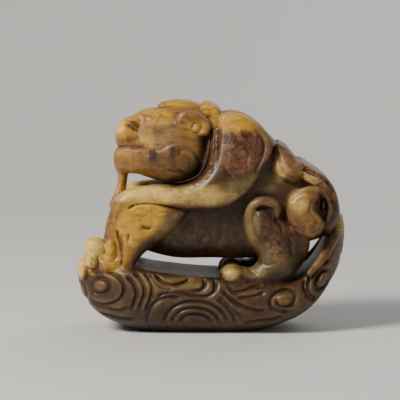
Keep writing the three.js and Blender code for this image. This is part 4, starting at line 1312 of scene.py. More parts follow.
@dataclass(frozen=True)
class HindLeg(SubAssembly):
    """The hind leg: the thigh with a curled roll round its knee, the hock, and a foot on the cloud."""

    thigh: Points = (
        (12.3, 37.4), (14.2, 39.7), (17.2, 40.2), (19.8, 39), (21.2, 36), (24, 34.5), (28, 31.5), (29.2, 27),
        (28.2, 22.5), (25.5, 18.5), (21.5, 15.2), (15.5, 14), (10, 13.3), (5.5, 13.4), (3.8, 15.5),
        (4.4, 18.2), (7, 19.8), (10, 19.4), (12.4, 19.6), (14, 22.3), (12.2, 25.5), (10.3, 29), (10, 33.5),
    )
    roll: Points = (
        (19, 14.6, 35, 1.1), (19.2, 14.9, 37.4, 1.5), (17.2, 15.1, 38.9, 1.7), (14.2, 15, 38.9, 1.7),
        (12, 14.7, 37.2, 1.6), (11.2, 14.4, 34.2, 1.6), (11.5, 14.2, 30.8, 1.6), (12.9, 14, 27.4, 1.4),
        (15.4, 13.8, 24.8, 1),
    )
    toes: Points = ((14.6, 0), (10.8, 0.9), (7.2, 0.2))

    def adds(self) -> list[Solid]:
        """Build the thigh, the roll round the knee, the haunch and the toes.

        Returns:
            The forms.
        """
        return [
            Form(self.thigh, self.thigh_half, edge=3, centre=11.6, blend=0.5),
            Strand(self.roll, blend=0.9),
            Ellipsoid((18, 10, 43), (4.8, 3.2, 3.2), 2),
            *[Ellipsoid((6.6 - ahead, y, 17.2), (3.3, 2.5, 2.9), 0.25) for y, ahead in self.toes],
        ]

    def thigh_half(self, x: Array, z: Array, depth: Array) -> Array:
        """Work out half the thickness of the thigh, which falls away under the curl of the tail."""
        under = smoothstep(x + 0.5 * z, 31, 39)
        return 4.6 + 1.3 * smoothstep(depth, 0, 6) - 2.4 * under

    def engravings(self) -> list[Engraving]:
        """Draw the pit and the furrow inside the roll, and the wavy cracks of the thigh.

        Returns:
            The engravings.
        """
        strokes = (
            furrow((13, 36.6), (14.8, 37.3), (17.2, 36.8), depth=0.8, width=1.1, fade=0.25),
            furrow((12.9, 36.4), (12.6, 34), (13.1, 30.4), (14.8, 28), depth=0.35, width=1),
            furrow((18.7, 35.6), (19.2, 33.4), (20.6, 31.8), (20.8, 29.8), depth=0.45, width=0.7),
            furrow((15.6, 29.2), (17.4, 28), (19, 28.3), (20.8, 26.4), depth=0.4, width=0.7),
            furrow((21.4, 34.8), (22.6, 32.6), (25.4, 31.4), depth=0.3, width=0.7),
            furrow((15.2, 32.4), (16.8, 31.8), (18, 32.6), depth=0.25, width=0.6),
            furrow((22.6, 28.8), (23.8, 27.2), (23.4, 24.8), (24.8, 22.8), depth=0.3, width=0.6),
            furrow((13, 21.6), (16.5, 20.6), (20, 21.6), depth=0.25, width=0.7),
            furrow((10.2, 20.2), (11.6, 18.6), (13.6, 18), depth=0.25, width=0.7),
        )
        return [Engraving(Relief(strokes), start=8)]

    def stains_and_painted_light(self) -> list[StainAndPaintedLight]:
        """Brown the thigh, and gild the roll and the toes.

        Returns:
            The stains.
        """
        return [
            StainAndPaintedLight(Tint.MOSS, (12, 33), (2.4, 8), 0.7),
            StainAndPaintedLight(Tint.ROSE, (15, 39.4), (5, 1.6), 0.6),
            StainAndPaintedLight(Tint.ROSE, (19.6, 30), (7.6, 8), 0.45),
            StainAndPaintedLight(Tint.UMBER, (19, 29), (10, 9), 0.5),
            StainAndPaintedLight(Tint.MOSS, (19, 24), (6, 6), 0.6),
            StainAndPaintedLight(Tint.RUSSET, (21, 28), (5, 5), 0.5),
            StainAndPaintedLight(Tint.CREAM, (6, 18.2), (3, 2.2), 0.55),
            StainAndPaintedLight(Tint.MOSS, (12.4, 18.8), (4, 2.2), 0.8),
            StainAndPaintedLight(Tint.UMBER, (22, 22), (8, 7), 0.7),
            StainAndPaintedLight(Tint.RUSSET, (17, 35), (3, 3), 0.6),
            StainAndPaintedLight(Tint.MOSS, (17, 44), (4.6, 3), 0.5),
        ]


@dataclass(frozen=True)
class Tail(SubAssembly):
    """The tail: a band of hair up the rump, two lobes on the back, and a curl over each haunch."""

    band: Points = (
        (26, 51.2), (30.5, 48.8), (34, 46), (36.6, 42.5), (38, 38.5), (38.4, 34), (37.4, 29.8), (35.4, 27.5),
        (33, 29), (33, 34.5), (33, 38.5), (31, 41.5), (28, 43.4), (25.5, 44.6), (24, 45.5), (24.5, 48.5),
    )
    lobe: Points = (
        (19.9, 56), (18.3, 54), (17.7, 51), (18.4, 47.8), (20.6, 45.3), (23.7, 44.1), (26.2, 45),
        (27.2, 47.2), (26.3, 50), (24.4, 52.6), (22.2, 55),
    )
    curl: Points = (
        (22, 36.8), (22.5, 39.7), (23.8, 41.4), (26, 42.8), (28.7, 43.3), (31, 42.6), (31.7, 41.4),
        (31.2, 40), (30.3, 38.7), (30, 37.2), (30.6, 36.2), (32.1, 34.9), (33, 33.2), (32.6, 31.4),
        (31.5, 29.8), (29.8, 28.8), (27.6, 28.9), (25.6, 29.6), (24, 31.3), (22.7, 33.8),
    )
    floor: Points = (
        (29, 43.2), (32.2, 43), (34.7, 41.4), (36.2, 38.3), (36.4, 35), (35.3, 31.9), (32.2, 30.1), (29, 32),
    )
    rim: Points = (
        (24.6, 9.4, 47.6, 0.9), (28, 12.2, 46.2, 1.3), (31.6, 13, 44.5, 1.4), (34.4, 12.8, 41.6, 1.4),
        (35.8, 12.4, 38.2, 1.4), (36, 12.2, 34.8, 1.3), (34.8, 12, 31.6, 1.1),
    )
    brow: Points = (
        (25.6, 16.4, 42.4, 0.5), (28.6, 17, 43.1, 0.7), (31.4, 16.6, 42.7, 0.8), (33.6, 15.4, 41.1, 0.8),
        (34.8, 14.4, 38.8, 0.8), (35, 13.8, 36.2, 0.8), (34.2, 13.4, 33.8, 0.7),
    )

    def lobe_half(self, x: Array, z: Array, depth: Array) -> Array:
        """Work out half the thickness of the lobe, which swells towards its middle."""
        return 5 + 1.2 * smoothstep(depth, 0, 4)

    def lobe_centre(self, x: Array, z: Array, depth: Array) -> Array:
        """Place the middle of the lobe, which leans in towards the spine."""
        return mix(9.6, 6.4, smoothstep(z, 46, 56))

    def adds(self) -> list[Solid]:
        """Build the band, the lobes, and the curl with its sunk floor and its rim.

        Returns:
            The forms.
        """
        return [
            Form(self.band, 11, edge=6, blend=0.6),
            Form(self.lobe, self.lobe_half, edge=2.6, centre=self.lobe_centre, blend=0.3),
            Form(self.curl, 6, edge=2.4, centre=12.2, blend=0.3),
            Ellipsoid((26.8, 13.2, 36), (4.4, 5.6, 6.6), 1),
            Form(self.floor, 2.6, edge=1.6, centre=10.4, blend=0.3),
            Ellipsoid((33, 12.6, 38.4), (0.8, 1.8, 2.2), 0.6),
            Strand(self.rim, blend=0.4),
            Strand(self.brow, blend=0.3),
        ]

    def engravings(self) -> list[Engraving]:
        """Part the lobe, and draw the hair along the band and the swirl in the eye of the curl.

        Returns:
            The engravings.
        """
        hairs = [line((26 + d, 48.4 - d), (29.4 + 0.5 * d, 47.4 - d), (32.6, 45.6 - d), (35, 42.6 - 0.7 * d),
                      (36.2 - 0.3 * d, 38.6)) for d in (0, 1, 2, 3)]
        strokes = (
            furrow((19.9, 53.6), (20.2, 51), (21.4, 48.3), (25.2, 45.4), depth=0.5, width=0.9),
            furrow((23.2, 52), (24.4, 49.6), (25.8, 47.6), depth=0.2, width=0.9),
            *[Stroke(hair, depth=0.5, width=0.6) for hair in hairs],
            furrow((23.4, 39), (25.2, 41), (28.6, 42.1), (31, 41.5), depth=0.22, width=0.5),
            furrow((29.9, 40.2), (28.9, 38.4), (28.8, 36.6), (30, 34.8), (31.6, 33.4), depth=0.22,
                   width=0.5),
        )
        return [Engraving(Relief(strokes), start=5)]

    @staticmethod
    def parting(y: float, r: float) -> Strand:
        """Lay a parting of a given radius up the rump, at a place across it."""
        return Strand([(24.5, y, 54, r * 0.4), (28, y, 51.6, r), (32.4, y, 49, r), (36.4, y, 45.4, r),
                       (38.6, y, 41, r), (39.8, y, 36.6, r * 0.5)], blend=0.8)

    def cuts(self) -> list[Solid]:
        """Sink the partings up the middle of the rump."""
        return [self.parting(0, 1.3), self.parting(5.4, 1)]

    def stains_and_painted_light(self) -> list[StainAndPaintedLight]:
        """Blush the lobes, pale the curls, and paint shade in the eye of the curl.

        Returns:
            The stains.
        """
        return [
            StainAndPaintedLight(Tint.ROSE, (23.6, 51.4), (3, 5), 0.9, tilt=-35),
            StainAndPaintedLight(Tint.CREAM, (20.4, 49), (2.4, 4.6), 0.5),
            StainAndPaintedLight(Tint.CREAM, (25.6, 39.4), (3.6, 4), 0.5),
            StainAndPaintedLight(Tint.CREAM, (29.6, 46.2), (6, 2.6), 0.45, tilt=-35),
            StainAndPaintedLight(Tint.ROSE, (30, 47), (5, 2), 0.8, tilt=-35),
            # Painted shade in the eye of the curl.
            StainAndPaintedLight(Tint.UMBER, (33, 37.4), (1.6, 3.6), 0.8),
            StainAndPaintedLight(Tint.RUSSET, (30, 31.6), (5, 2.6), 0.5),
            StainAndPaintedLight(Tint.RUSSET, (34, 42), (4, 7), 0.5, tilt=25),
            StainAndPaintedLight(Tint.MOSS, (31, 46), (5, 2.4), 0.5, tilt=-35),
        ]


@dataclass(frozen=True)
class Face(SubAssembly):
    """The sockets that the eyes lie in, and the nostrils."""

    def sockets(self) -> list[Solid]:
        """Build the sockets, which are cut before the eyes are set in them."""
        return [Strand([(-24.4, 8.5, 62, 2.2), (-21.9, 8.8, 60.1, 2.2)], blend=1)]

    def cuts(self) -> list[Solid]:
        """Sink the nostrils into the nose."""
        return [Ellipsoid((-28.7, 3.6, 58.2), (1, 1, 0.9), 0.4)]


@dataclass(frozen=True)
class StoneMesh:
    """The mesh of the stone's skin: its points in millimetres, and its faces of four corners."""

    points: Array
    faces: Array

    def largest_shell(self) -> "StoneMesh":
        """Keep the largest closed shell, without small pockets of air shut inside the stone.

        Returns:
            The mesh of that shell.
        """
        label = np.arange(len(self.points))
        edges = np.concatenate([self.faces[:, [i, (i + 1) % 4]] for i in range(4)])
        while True:
            least = np.minimum(label[edges[:, 0]], label[edges[:, 1]])
            fresh = label.copy()
            for side in (0, 1):
                np.minimum.at(fresh, edges[:, side], least)
            fresh = fresh[fresh]
            if np.array_equal(fresh, label):
                break
            label = fresh
        values, counts = np.unique(label, return_counts=True)
        kept = label == values[counts.argmax()]
        number = np.cumsum(kept) - 1
        return StoneMesh(self.points[kept], number[self.faces[kept[self.faces[:, 0]]]])


@dataclass(frozen=True)
class Carving:
    """The whole stone: it is carved as a field, skinned, thinned, and dressed with its weights."""

    step: float = 0.24
    triangles: int = 194_000
    wobble: float = 0.1
    wobble_lengths: tuple[float, ...] = (7.0, 3.1)
    seed: int = 11
    crease_reach: int = 2
    crease_span: tuple[float, float] = (0.06, 0.3)
    height_reach: int = 4
    height_span: tuple[float, float] = (0.03, 0.35)
    shelter_reach: int = 18
    shelter_span: tuple[float, float] = (0.52, 0.8)
    parts: tuple[SubAssembly, ...] = (
        Clouds(), Trunk(), Ruff(), Head(), Ears(), Horns(), Beard(), Shoulder(), Foreleg(), HindLeg(), Tail(),
        Face(),
    )
    lattice: Lattice = field(init=False)

    def __post_init__(self) -> None:
        """Lay the lattice round the stone."""
        object.__setattr__(self, "lattice", Lattice(self.step, (-42, -21.2, -1.6), (42, 21.2, 70.4)))

    def part(self, kind: type) -> SubAssembly:
        """Find the part of a kind."""
        return next(part for part in self.parts if isinstance(part, kind))

    def order(self) -> list[tuple[list[Solid], list[Solid]]]:
        """List what is added and cut, in the order it is carved: clouds, trunk and head, then the rest.

        Returns:
            Steps, each with the forms that it adds and then those that it cuts.
        """
        clouds, face, head = self.part(Clouds), self.part(Face), self.part(Head).adds()
        core = [*self.part(Trunk).adds(), *self.part(Ruff).adds(), *head[:2]]
        rest = [p for p in self.parts if not isinstance(p, Clouds | Trunk | Ruff | Head | Face)]
        return [
            (clouds.adds(), clouds.cuts()),
            (core, face.sockets()),
            (head[2:] + [solid for p in rest for solid in p.adds()],
             face.cuts() + [solid for p in rest for solid in p.cuts()]),
        ]

    def carve(self) -> Array:
        """Carve the stone.

        Returns:
            The distance to its skin at each point of the lattice.
        """
        stone = np.full(self.lattice.shape, OPEN_AIR, np.float32)
        for adds, cuts in self.order():
            for solid in adds:
                window, distance = solid.measure(self.lattice)
                stone[window] = soft_min(stone[window], distance, solid.blend)
            for solid in cuts:
                window, distance = solid.measure(self.lattice)
                stone[window] = soft_max(stone[window], -distance, solid.blend)
        for engraving in (engraving for part in self.parts for engraving in part.engravings()):
            window, depth = engraving.measure(self.lattice)
            stone[window] += depth
        stone += self.hand_wobble()
        return soft_max(stone, -self.lattice.axes[2][None, None, :], 0.4)

    def hand_wobble(self) -> Array:
        """Make the slight unevenness of a skin ground by hand.

        Returns:
            What it adds to the distance at each point of the lattice.
        """
        rng = np.random.default_rng(self.seed)
        total = np.zeros(self.lattice.shape, np.float32)
        for length in self.wobble_lengths:
            weights = [self.spline_weights(axis, length) for axis in self.lattice.axes]
            values = rng.standard_normal([w.shape[1] for w in weights]).astype(np.float32)
            for weight in weights:
                values = np.tensordot(values, weight, axes=(0, 1))
            total += values * (self.wobble * length / self.wobble_lengths[0])
        return total

    @staticmethod
    def spline_weights(axis: Array, length: float) -> Array:
        """Weigh random knots by cubic B-splines.

        Args:
            axis: The places of the lattice along an axis.
            length: How far apart the knots are.

        Returns:
            The weight of each knot at each place.
        """
        at = (axis - axis[0]) / length
        knots = np.arange(int(at[-1]) + 4) - 1
        away = np.abs(at[:, None] - knots[None, :])
        inner = 2 / 3 - away**2 + away**3 / 2
        outer = np.maximum(2 - away, 0) ** 3 / 6
        return np.where(away < 1, inner, outer).astype(np.float32)

    def skin(self, stone: Array) -> StoneMesh:
        """Turn the field into a closed skin.

        Args:
            stone: The field.

        Returns:
            The skin of the stone.
        """
        grid = vdb.FloatGrid()
        grid.copyFromArray(np.ascontiguousarray(stone))
        points, faces = grid.convertToQuads(0.0)
        points = points * self.step + np.array(self.lattice.low, np.float32)
        return StoneMesh(points.astype(np.float32), faces.astype(np.int64)).largest_shell()

    def thin(self, skin: StoneMesh) -> bpy.types.Mesh:
        """Thin the skin to its share of triangles.

        Args:
            skin: The dense skin.

        Returns:
            The thinned mesh, still in millimetres.
        """
        dense = bpy.data.meshes.new("dense_skin")
        dense.from_pydata(skin.points.tolist(), [], skin.faces.tolist())
        holder = bpy.data.objects.new("dense_skin", dense)
        bpy.context.scene.collection.objects.link(holder)
        thinner = holder.modifiers.new("thin", "DECIMATE")
        thinner.ratio = min(1.0, self.triangles / (2 * len(skin.faces)))
        thinner.use_collapse_triangulate = True
        graph = bpy.context.evaluated_depsgraph_get()
        light = bpy.data.meshes.new_from_object(holder.evaluated_get(graph))
        bpy.data.objects.remove(holder)
        bpy.data.meshes.remove(dense)
        return light

    def build(self) -> bpy.types.Object:
        """Carve, skin, thin and dress the stone, and set it where the plain solid stands.

        Returns:
            The finished piece.
        """
        stone = self.carve()
        LOG.info("carved %d lattice points", stone.size)
        skin = self.skin(stone)
        LOG.info("skinned with %d faces", len(skin.faces))
        mesh = self.thin(skin)
        count = len(mesh.vertices)
        points = np.empty(count * 3, np.float32)
        mesh.vertices.foreach_get("co", points)
        points = points.reshape(-1, 3)
        self.dress(mesh, stone, points)
        mesh.vertices.foreach_set("co", self.placed(points).ravel())
        mesh.shade_smooth()
        mesh.update()
        piece = bpy.data.objects.new("jade_dragon_carving", mesh)
        bpy.context.scene.collection.objects.link(piece)
        LOG.info("%s has %d triangles", piece.name, len(mesh.polygons))
        return piece

    def placed(self, points: Array) -> Array:
        """Move the points to where the plain solid stands.

        Args:
            points: The mesh's points, in millimetres.

        Returns:
            Their places in metres.
        """
        low, high = [np.array(corner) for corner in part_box(NODE)]
        mine_low, mine_high = points.min(axis=0) * MM, points.max(axis=0) * MM
        shift = (low + high) / 2 - (mine_low + mine_high) / 2
        shift[2] = low[2] - mine_low[2]
        return (points * MM + shift).astype(np.float32)

    def dress(self, mesh: bpy.types.Mesh, stone: Array, points: Array) -> None:
        """Give the mesh its weights: each tint, hollow grime, wear and painted highlight on heights, and
        painted shade.

        Args:
            mesh: The mesh to dress.
            stone: The field.
            points: The mesh's points, in millimetres.
        """
        for tint in Tint:
            weight = np.zeros(len(points), np.float32)
            for part in self.parts:
                for tint_patch in part.stains_and_painted_light():
                    if tint_patch.tint is tint:
                        weight = 1 - (1 - weight) * (1 - tint_patch.weigh(points))
            self.store(mesh, tint.value, weight)
        near = np.clip(stone, -2, 2)
        fine, broad = [self.lattice.read(blurred(near, reach) - near, points)
                       for reach in (self.crease_reach, self.height_reach)]
        self.store(mesh, "hollow", smoothstep(-fine, *self.crease_span))
        # The heights that stand proud: they pale the colour as wear, and partly as painted highlight.
        self.store(mesh, "worn_and_highlit", smoothstep(broad, *self.height_span))
        # How much stone lies round each point: it darkens the colour as painted shade deep between the forms,
        # and dulls the roughness.
        solid = blurred((stone < 0).astype(np.float32), self.shelter_reach)
        self.store(mesh, "shelter_shade", smoothstep(self.lattice.read(solid, points), *self.shelter_span))

    @staticmethod
    def store(mesh: bpy.types.Mesh, name: str, weight: Array) -> None:
        """Store a weight on the points of the mesh, under a name."""
        mesh.attributes.new(name, "FLOAT", "POINT").data.foreach_set("value", weight.astype(np.float32))


def opaque(colour: Colour) -> tuple[float, float, float, float]:
    """Give a colour the fourth number that a socket asks for."""
    return (*colour, 1.0)


@dataclass(frozen=True)
class NodeCircuit:
    """A node tree, with short ways to add nodes and link them."""

    tree: bpy.types.NodeTree

    def add(self, kind: str, values: dict[str | int, object] | None = None,
            **settings: object) -> bpy.types.Node:
        """Add a node.

        Args:
            kind: The node's type.
            values: What feeds its sockets, by name or by number: a socket, or a constant.
            settings: Its own settings.

        Returns:
            The node.
        """
        node = self.tree.nodes.new(kind)
        for name, value in settings.items():
            setattr(node, name, value)
        for name, value in (values or {}).items():
            self.feed(value, node.inputs[name])
        return node

    def link(self, source: Socket, target: Socket) -> None:
        """Link an output to an input."""
        self.tree.links.new(source, target)

    def math(self, operation: str, first: object, second: object = 0.0) -> Socket:
        """Work out a number from two others."""
        return self.add("ShaderNodeMath", {0: first, 1: second}, operation=operation).outputs[0]

    def feed(self, value: object, target: Socket) -> None:
        """Link a socket to an input, or set a constant on it.

        Args:
            value: The socket or the constant.
            target: The input.
        """
        if isinstance(value, Socket):
            self.link(value, target)
        else:
            target.default_value = value

    def ramp(self, value: object, low: float, high: float) -> Socket:
        """Rise smoothly from 0 at low to 1 at high."""
        values = {"Value": value, "From Min": low, "From Max": high}
        return self.add("ShaderNodeMapRange", values, interpolation_type="SMOOTHSTEP").outputs["Result"]

    def noise(self, vector: object, scale: object, detail: float = 4.0, rough: float = 0.55) -> Socket:
        """Add a cloudy noise over a vector."""
        values = {"Vector": vector, "Scale": scale, "Detail": detail, "Roughness": rough}
        return self.add("ShaderNodeTexNoise", values).outputs["Fac"]

    def blend(self, share: object, first: object, second: object) -> Socket:
        """Mix two colours by a share."""
        return self.add("ShaderNodeMix", {0: share, 6: first, 7: second}, data_type="RGBA").outputs[2]

    def overlay(self, colour: Socket, mask: Socket, share: object, tint: Colour) -> Socket:
        """Lay a tint over a colour, by a mask times a share."""
        return self.blend(self.math("MULTIPLY", mask, share), colour, opaque(tint))


def new_group(name: str, inputs: dict[str, tuple[str, object]], outputs: Sequence[str]) -> bpy.types.NodeTree:
    """Start a shader node group with named inputs and outputs.

    Args:
        name: The group's name.
        inputs: Each input's socket type and its default value.
        outputs: The names of its outputs, which are all numbers.

    Returns:
        The group, with its input and output nodes.
    """
    group = bpy.data.node_groups.new(name, "ShaderNodeTree")
    for label, (kind, value) in inputs.items():
        socket = group.interface.new_socket(label, in_out="INPUT", socket_type=kind)
        if value is not None:
            socket.default_value = value
    for label in outputs:
        group.interface.new_socket(label, in_out="OUTPUT", socket_type="NodeSocketFloat")
    group.nodes.new("NodeGroupInput")
    group.nodes.new("NodeGroupOutput")
    return group


@dataclass(frozen=True)
class StoneEffects:
    """The shader node groups that the stone's finish is made with."""

    def ragged_patch(self) -> bpy.types.NodeTree:
        """Break a smooth weight up into a ragged, mottled patch, as a stain soaks into stone; painted shade
        is broken up alike.

        Returns:
            The group. Raggedness is how far the noise eats into the weight, and Mottle how much of the
            stone shows through inside the patch.
        """
        group = new_group("ragged_patch", {
            "Vector": ("NodeSocketVector", None), "Weight": ("NodeSocketFloat", 0.0),
            "Scale": ("NodeSocketFloat", 300.0), "Raggedness": ("NodeSocketFloat", 0.8),
            "Mottle": ("NodeSocketFloat", 0.4),
        }, ["Mask"])
        circuit = NodeCircuit(group)
        given, result = group.nodes[0].outputs, group.nodes[1].inputs
        streaks = circuit.add("ShaderNodeMapping", {
            "Vector": given["Vector"], "Scale": (1.0, 1.0, 0.62), "Rotation": (0.5, 0.66, 0.36),
        })
        noise = circuit.noise(streaks.outputs[0], given["Scale"], detail=8.0, rough=0.66)
        swing = circuit.math("MULTIPLY", circuit.math("SUBTRACT", noise, 0.5), given["Raggedness"])
        sized = circuit.math("MULTIPLY", swing, circuit.ramp(given["Weight"], 0.0, 0.25))
        grown = circuit.math("ADD", given["Weight"], sized)
        finer = circuit.math("MULTIPLY", given["Scale"], 2.9)
        fine = circuit.noise(streaks.outputs[0], finer, detail=6.0, rough=0.7)
        shown = circuit.math("MULTIPLY", circuit.ramp(fine, 0.44, 0.6), given["Mottle"])
        patch = circuit.ramp(grown, 0.12, 0.85)
        circuit.link(circuit.math("MULTIPLY", patch, circuit.math("SUBTRACT", 1.0, shown)), result["Mask"])
        return group

    def veins(self) -> bpy.types.NodeTree:
        """Draw thin wandering veins, which come and go over the stone.

        Returns:
            The group. Width is how wide the veins are, and Cover how much of the stone has them.
        """
        group = new_group("veins", {
            "Vector": ("NodeSocketVector", None), "Scale": ("NodeSocketFloat", 90.0),
            "Width": ("NodeSocketFloat", 0.03), "Cover": ("NodeSocketFloat", 0.5),
        }, ["Mask"])
        circuit = NodeCircuit(group)
        given, result = group.nodes[0].outputs, group.nodes[1].inputs
        wander = circuit.noise(given["Vector"], given["Scale"], detail=3.0, rough=0.5)
        away = circuit.math("ABSOLUTE", circuit.math("SUBTRACT", wander, 0.5))
        thin = circuit.math("SUBTRACT", 1.0, circuit.math("DIVIDE", away, given["Width"]))
        patch = circuit.noise(given["Vector"], circuit.math("MULTIPLY", given["Scale"], 0.5), detail=2.0)
        shown = circuit.ramp(circuit.math("ADD", patch, given["Cover"]), 0.9, 1.15)
        lines = circuit.math("MULTIPLY", circuit.ramp(thin, 0.0, 1.0), shown)
        circuit.link(lines, result["Mask"])
        return group

    def grain(self) -> bpy.types.NodeTree:
        """Lay the stone's grain: soft clouds, drawn out into fibres along the pebble.

        Returns:
            The group. Clouds are broad and Fibres fine.
        """
        group = new_group("grain", {
            "Vector": ("NodeSocketVector", None), "Clouds Scale": ("NodeSocketFloat", 60.0),
            "Fibres Scale": ("NodeSocketFloat", 500.0),
        }, ["Clouds", "Fibres"])
        circuit = NodeCircuit(group)
        given, result = group.nodes[0].outputs, group.nodes[1].inputs
        stretch = circuit.add("ShaderNodeMapping", {
            "Vector": given["Vector"], "Scale": (0.45, 0.7, 1.6), "Rotation": (0.0, 0.14, 0.0),
        })
        clouds = circuit.noise(given["Vector"], given["Clouds Scale"], detail=5.0, rough=0.6)
        fibres = circuit.noise(stretch.outputs[0], given["Fibres Scale"], detail=5.0, rough=0.65)
        circuit.link(clouds, result["Clouds"])
        circuit.link(fibres, result["Fibres"])
        return group

    def pits(self) -> bpy.types.NodeTree:
        """Scatter small natural pits, which polishing has left in the skin.

        Returns:
            The group. Size is how wide a pit is against the room round it.
        """
        group = new_group("pits", {
            "Vector": ("NodeSocketVector", None), "Scale": ("NodeSocketFloat", 700.0),
            "Size": ("NodeSocketFloat", 0.2),
        }, ["Mask"])
        circuit = NodeCircuit(group)
        given, result = group.nodes[0].outputs, group.nodes[1].inputs
        cells = circuit.add("ShaderNodeTexVoronoi", {
            "Vector": given["Vector"], "Scale": given["Scale"], "Randomness": 1.0,
        })
        near = circuit.math("SUBTRACT", 1.0, circuit.math("DIVIDE", cells.outputs["Distance"], given["Size"]))
        patch = circuit.ramp(circuit.noise(given["Vector"], 160.0, detail=3.0), 0.5, 0.68)
        circuit.link(circuit.math("MULTIPLY", circuit.ramp(near, 0.0, 0.7), patch), result["Mask"])
        return group


@dataclass(frozen=True)
class TintLayer:
    """How a tint lies on the stone, as a stain and in places as painted shade and highlight: its colour, its
    strength, and how its patches break up.
    """

    tint: Tint
    colour: Colour
    strength: float
    scale: float
    raggedness: float
    mottle: float


@dataclass(frozen=True)
class JadeFinish:
    """Polished honey jade: mottled, veined, stained by handling, with grime left in its furrows, painted
    shade deep between its forms, and painted highlight on its worn heights.
    """

    honey: Colour = (0.30, 0.150, 0.034)
    amber: Colour = (0.15, 0.065, 0.017)
    grime_and_shade: Colour = (0.028, 0.009, 0.006)
    vein: Colour = (0.10, 0.028, 0.016)
    pale: Colour = (0.50, 0.33, 0.11)
    tint_layers: tuple[TintLayer, ...] = (
        TintLayer(Tint.UMBER, (0.020, 0.0085, 0.0035), 0.97, scale=190.0, raggedness=0.7, mottle=0.18),
        TintLayer(Tint.MOSS, (0.22, 0.15, 0.050), 0.8, scale=190.0, raggedness=1.0, mottle=0.45),
        TintLayer(Tint.GOLD, (0.60, 0.33, 0.03), 0.92, scale=190.0, raggedness=0.7, mottle=0.3),
        TintLayer(Tint.CREAM, (0.86, 0.60, 0.16), 0.92, scale=230.0, raggedness=0.6, mottle=0.25),
        TintLayer(Tint.ROSE, (0.33, 0.14, 0.065), 0.7, scale=260.0, raggedness=1.4, mottle=0.6),
        TintLayer(Tint.RUSSET, (0.050, 0.014, 0.009), 0.96, scale=300.0, raggedness=3.0, mottle=0.2),
    )
    wear_and_highlight: float = 0.17
    fibre: float = 0.5
    veining: float = 0.7
    cracking: float = 0.85
    moss_cracks: float = 0.3
    soot: float = 0.85
    shade: float = 0.8
    polish: float = 0.4
    dull: float = 0.85
    depth_glow: float = 0.3
    glow_radius: Colour = (1.0, 0.45, 0.14)
    glow_scale: float = 0.0018

    def material(self) -> bpy.types.Material:
        """Build the material.

        Returns:
            The material, made of procedural nodes alone.
        """
        material = bpy.data.materials.new("honey_jade")
        material.use_nodes = True
        circuit = NodeCircuit(material.node_tree)
        shader = material.node_tree.nodes["Principled BSDF"]
        place = circuit.add("ShaderNodeTexCoord").outputs["Object"]
        effects = StoneEffects()
        grain = self.place_group(circuit, effects.grain(), place)
        pits = self.place_group(circuit, effects.pits(), place)
        patches = effects.ragged_patch()
        colour = self.stained(circuit, place, grain, patches)
        colour = self.veined(circuit, place, effects.veins(), colour)
        colour = self.grimed_and_shaded(circuit, place, patches, colour)
        circuit.link(colour, shader.inputs["Base Color"])
        self.surface(circuit, shader, grain, pits)
        for name, value in self.constants().items():
            shader.inputs[name].default_value = value
        return material

    def stained(self, circuit: NodeCircuit, place: Socket, grain: bpy.types.Node,
                patches: bpy.types.NodeTree) -> Socket:
        """Colour the clear stone, with its tints, which are stains and in places painted shade and highlight,
        and its wear, which is partly painted highlight.

        Args:
            circuit: The material's nodes.
            place: The coordinates that the effects are laid over.
            grain: The placed group of the grain.
            patches: The group that breaks up a weight.

        Returns:
            The colour.
        """
        colour = circuit.blend(circuit.ramp(grain.outputs["Clouds"], 0.35, 0.65),
                               opaque(self.amber), opaque(self.honey))
        for tint_layer in self.tint_layers:
            patch = self.place_group(circuit, patches, place, Weight=self.weight(circuit, tint_layer.tint.value),
                                     Raggedness=tint_layer.raggedness, Scale=tint_layer.scale, Mottle=tint_layer.mottle)
            colour = circuit.overlay(colour, patch.outputs["Mask"], tint_layer.strength, tint_layer.colour)
        # The worn heights pale: wear, and partly a painted highlight.
        colour = circuit.overlay(colour, self.weight(circuit, "worn_and_highlit"), self.wear_and_highlight, self.pale)
        fibres = circuit.math("MULTIPLY", circuit.ramp(grain.outputs["Fibres"], 0.38, 0.66), self.fibre)
        return self.shaded(circuit, colour, fibres)

    def veined(self, circuit: NodeCircuit, place: Socket, veins: bpy.types.NodeTree,
               colour: Socket) -> Socket:
        """Draw the veins, and finer cracks where the tints show that the stone is weathered.

        Args:
            circuit: The material's nodes.
            place: The coordinates that the veins are laid over.
            veins: The group that draws them.
            colour: The colour of the stone.

        Returns:
            The colour with both.
        """
        broad = self.place_group(circuit, veins, place, Scale=110.0, Width=0.022, Cover=0.5)
        fine = self.place_group(circuit, veins, place, Scale=230.0, Width=0.035, Cover=0.62)
        shown = circuit.math("MULTIPLY", self.weight(circuit, Tint.MOSS.value), self.moss_cracks)
        for tint in (Tint.RUSSET, Tint.ROSE):
            shown = circuit.math("ADD", shown, self.weight(circuit, tint.value))
        colour = circuit.overlay(colour, broad.outputs["Mask"], self.veining, self.vein)
        shown = circuit.math("MINIMUM", shown, self.cracking)
        return circuit.overlay(colour, fine.outputs["Mask"], shown, self.grime_and_shade)

    def grimed_and_shaded(self, circuit: NodeCircuit, place: Socket, patches: bpy.types.NodeTree,
               colour: Socket) -> Socket:
        """Leave grime in the furrows, and darken what lies deep between the forms.

        Args:
            circuit: The material's nodes.
            place: The coordinates that the grime is laid over.
            patches: The group that breaks up a weight.
            colour: The colour of the stone.

        Returns:
            The colour with the grime and the painted shade.
        """
        soot = self.place_group(circuit, patches, place, Weight=self.weight(circuit, "hollow"),
                                Raggedness=0.6, Scale=420.0, Mottle=0.25)
        colour = circuit.overlay(colour, soot.outputs["Mask"], self.soot, self.grime_and_shade)
        # Painted shade: the dark grime colour laid over the places deep between the forms.
        return circuit.overlay(colour, self.weight(circuit, "shelter_shade"), self.shade, self.grime_and_shade)

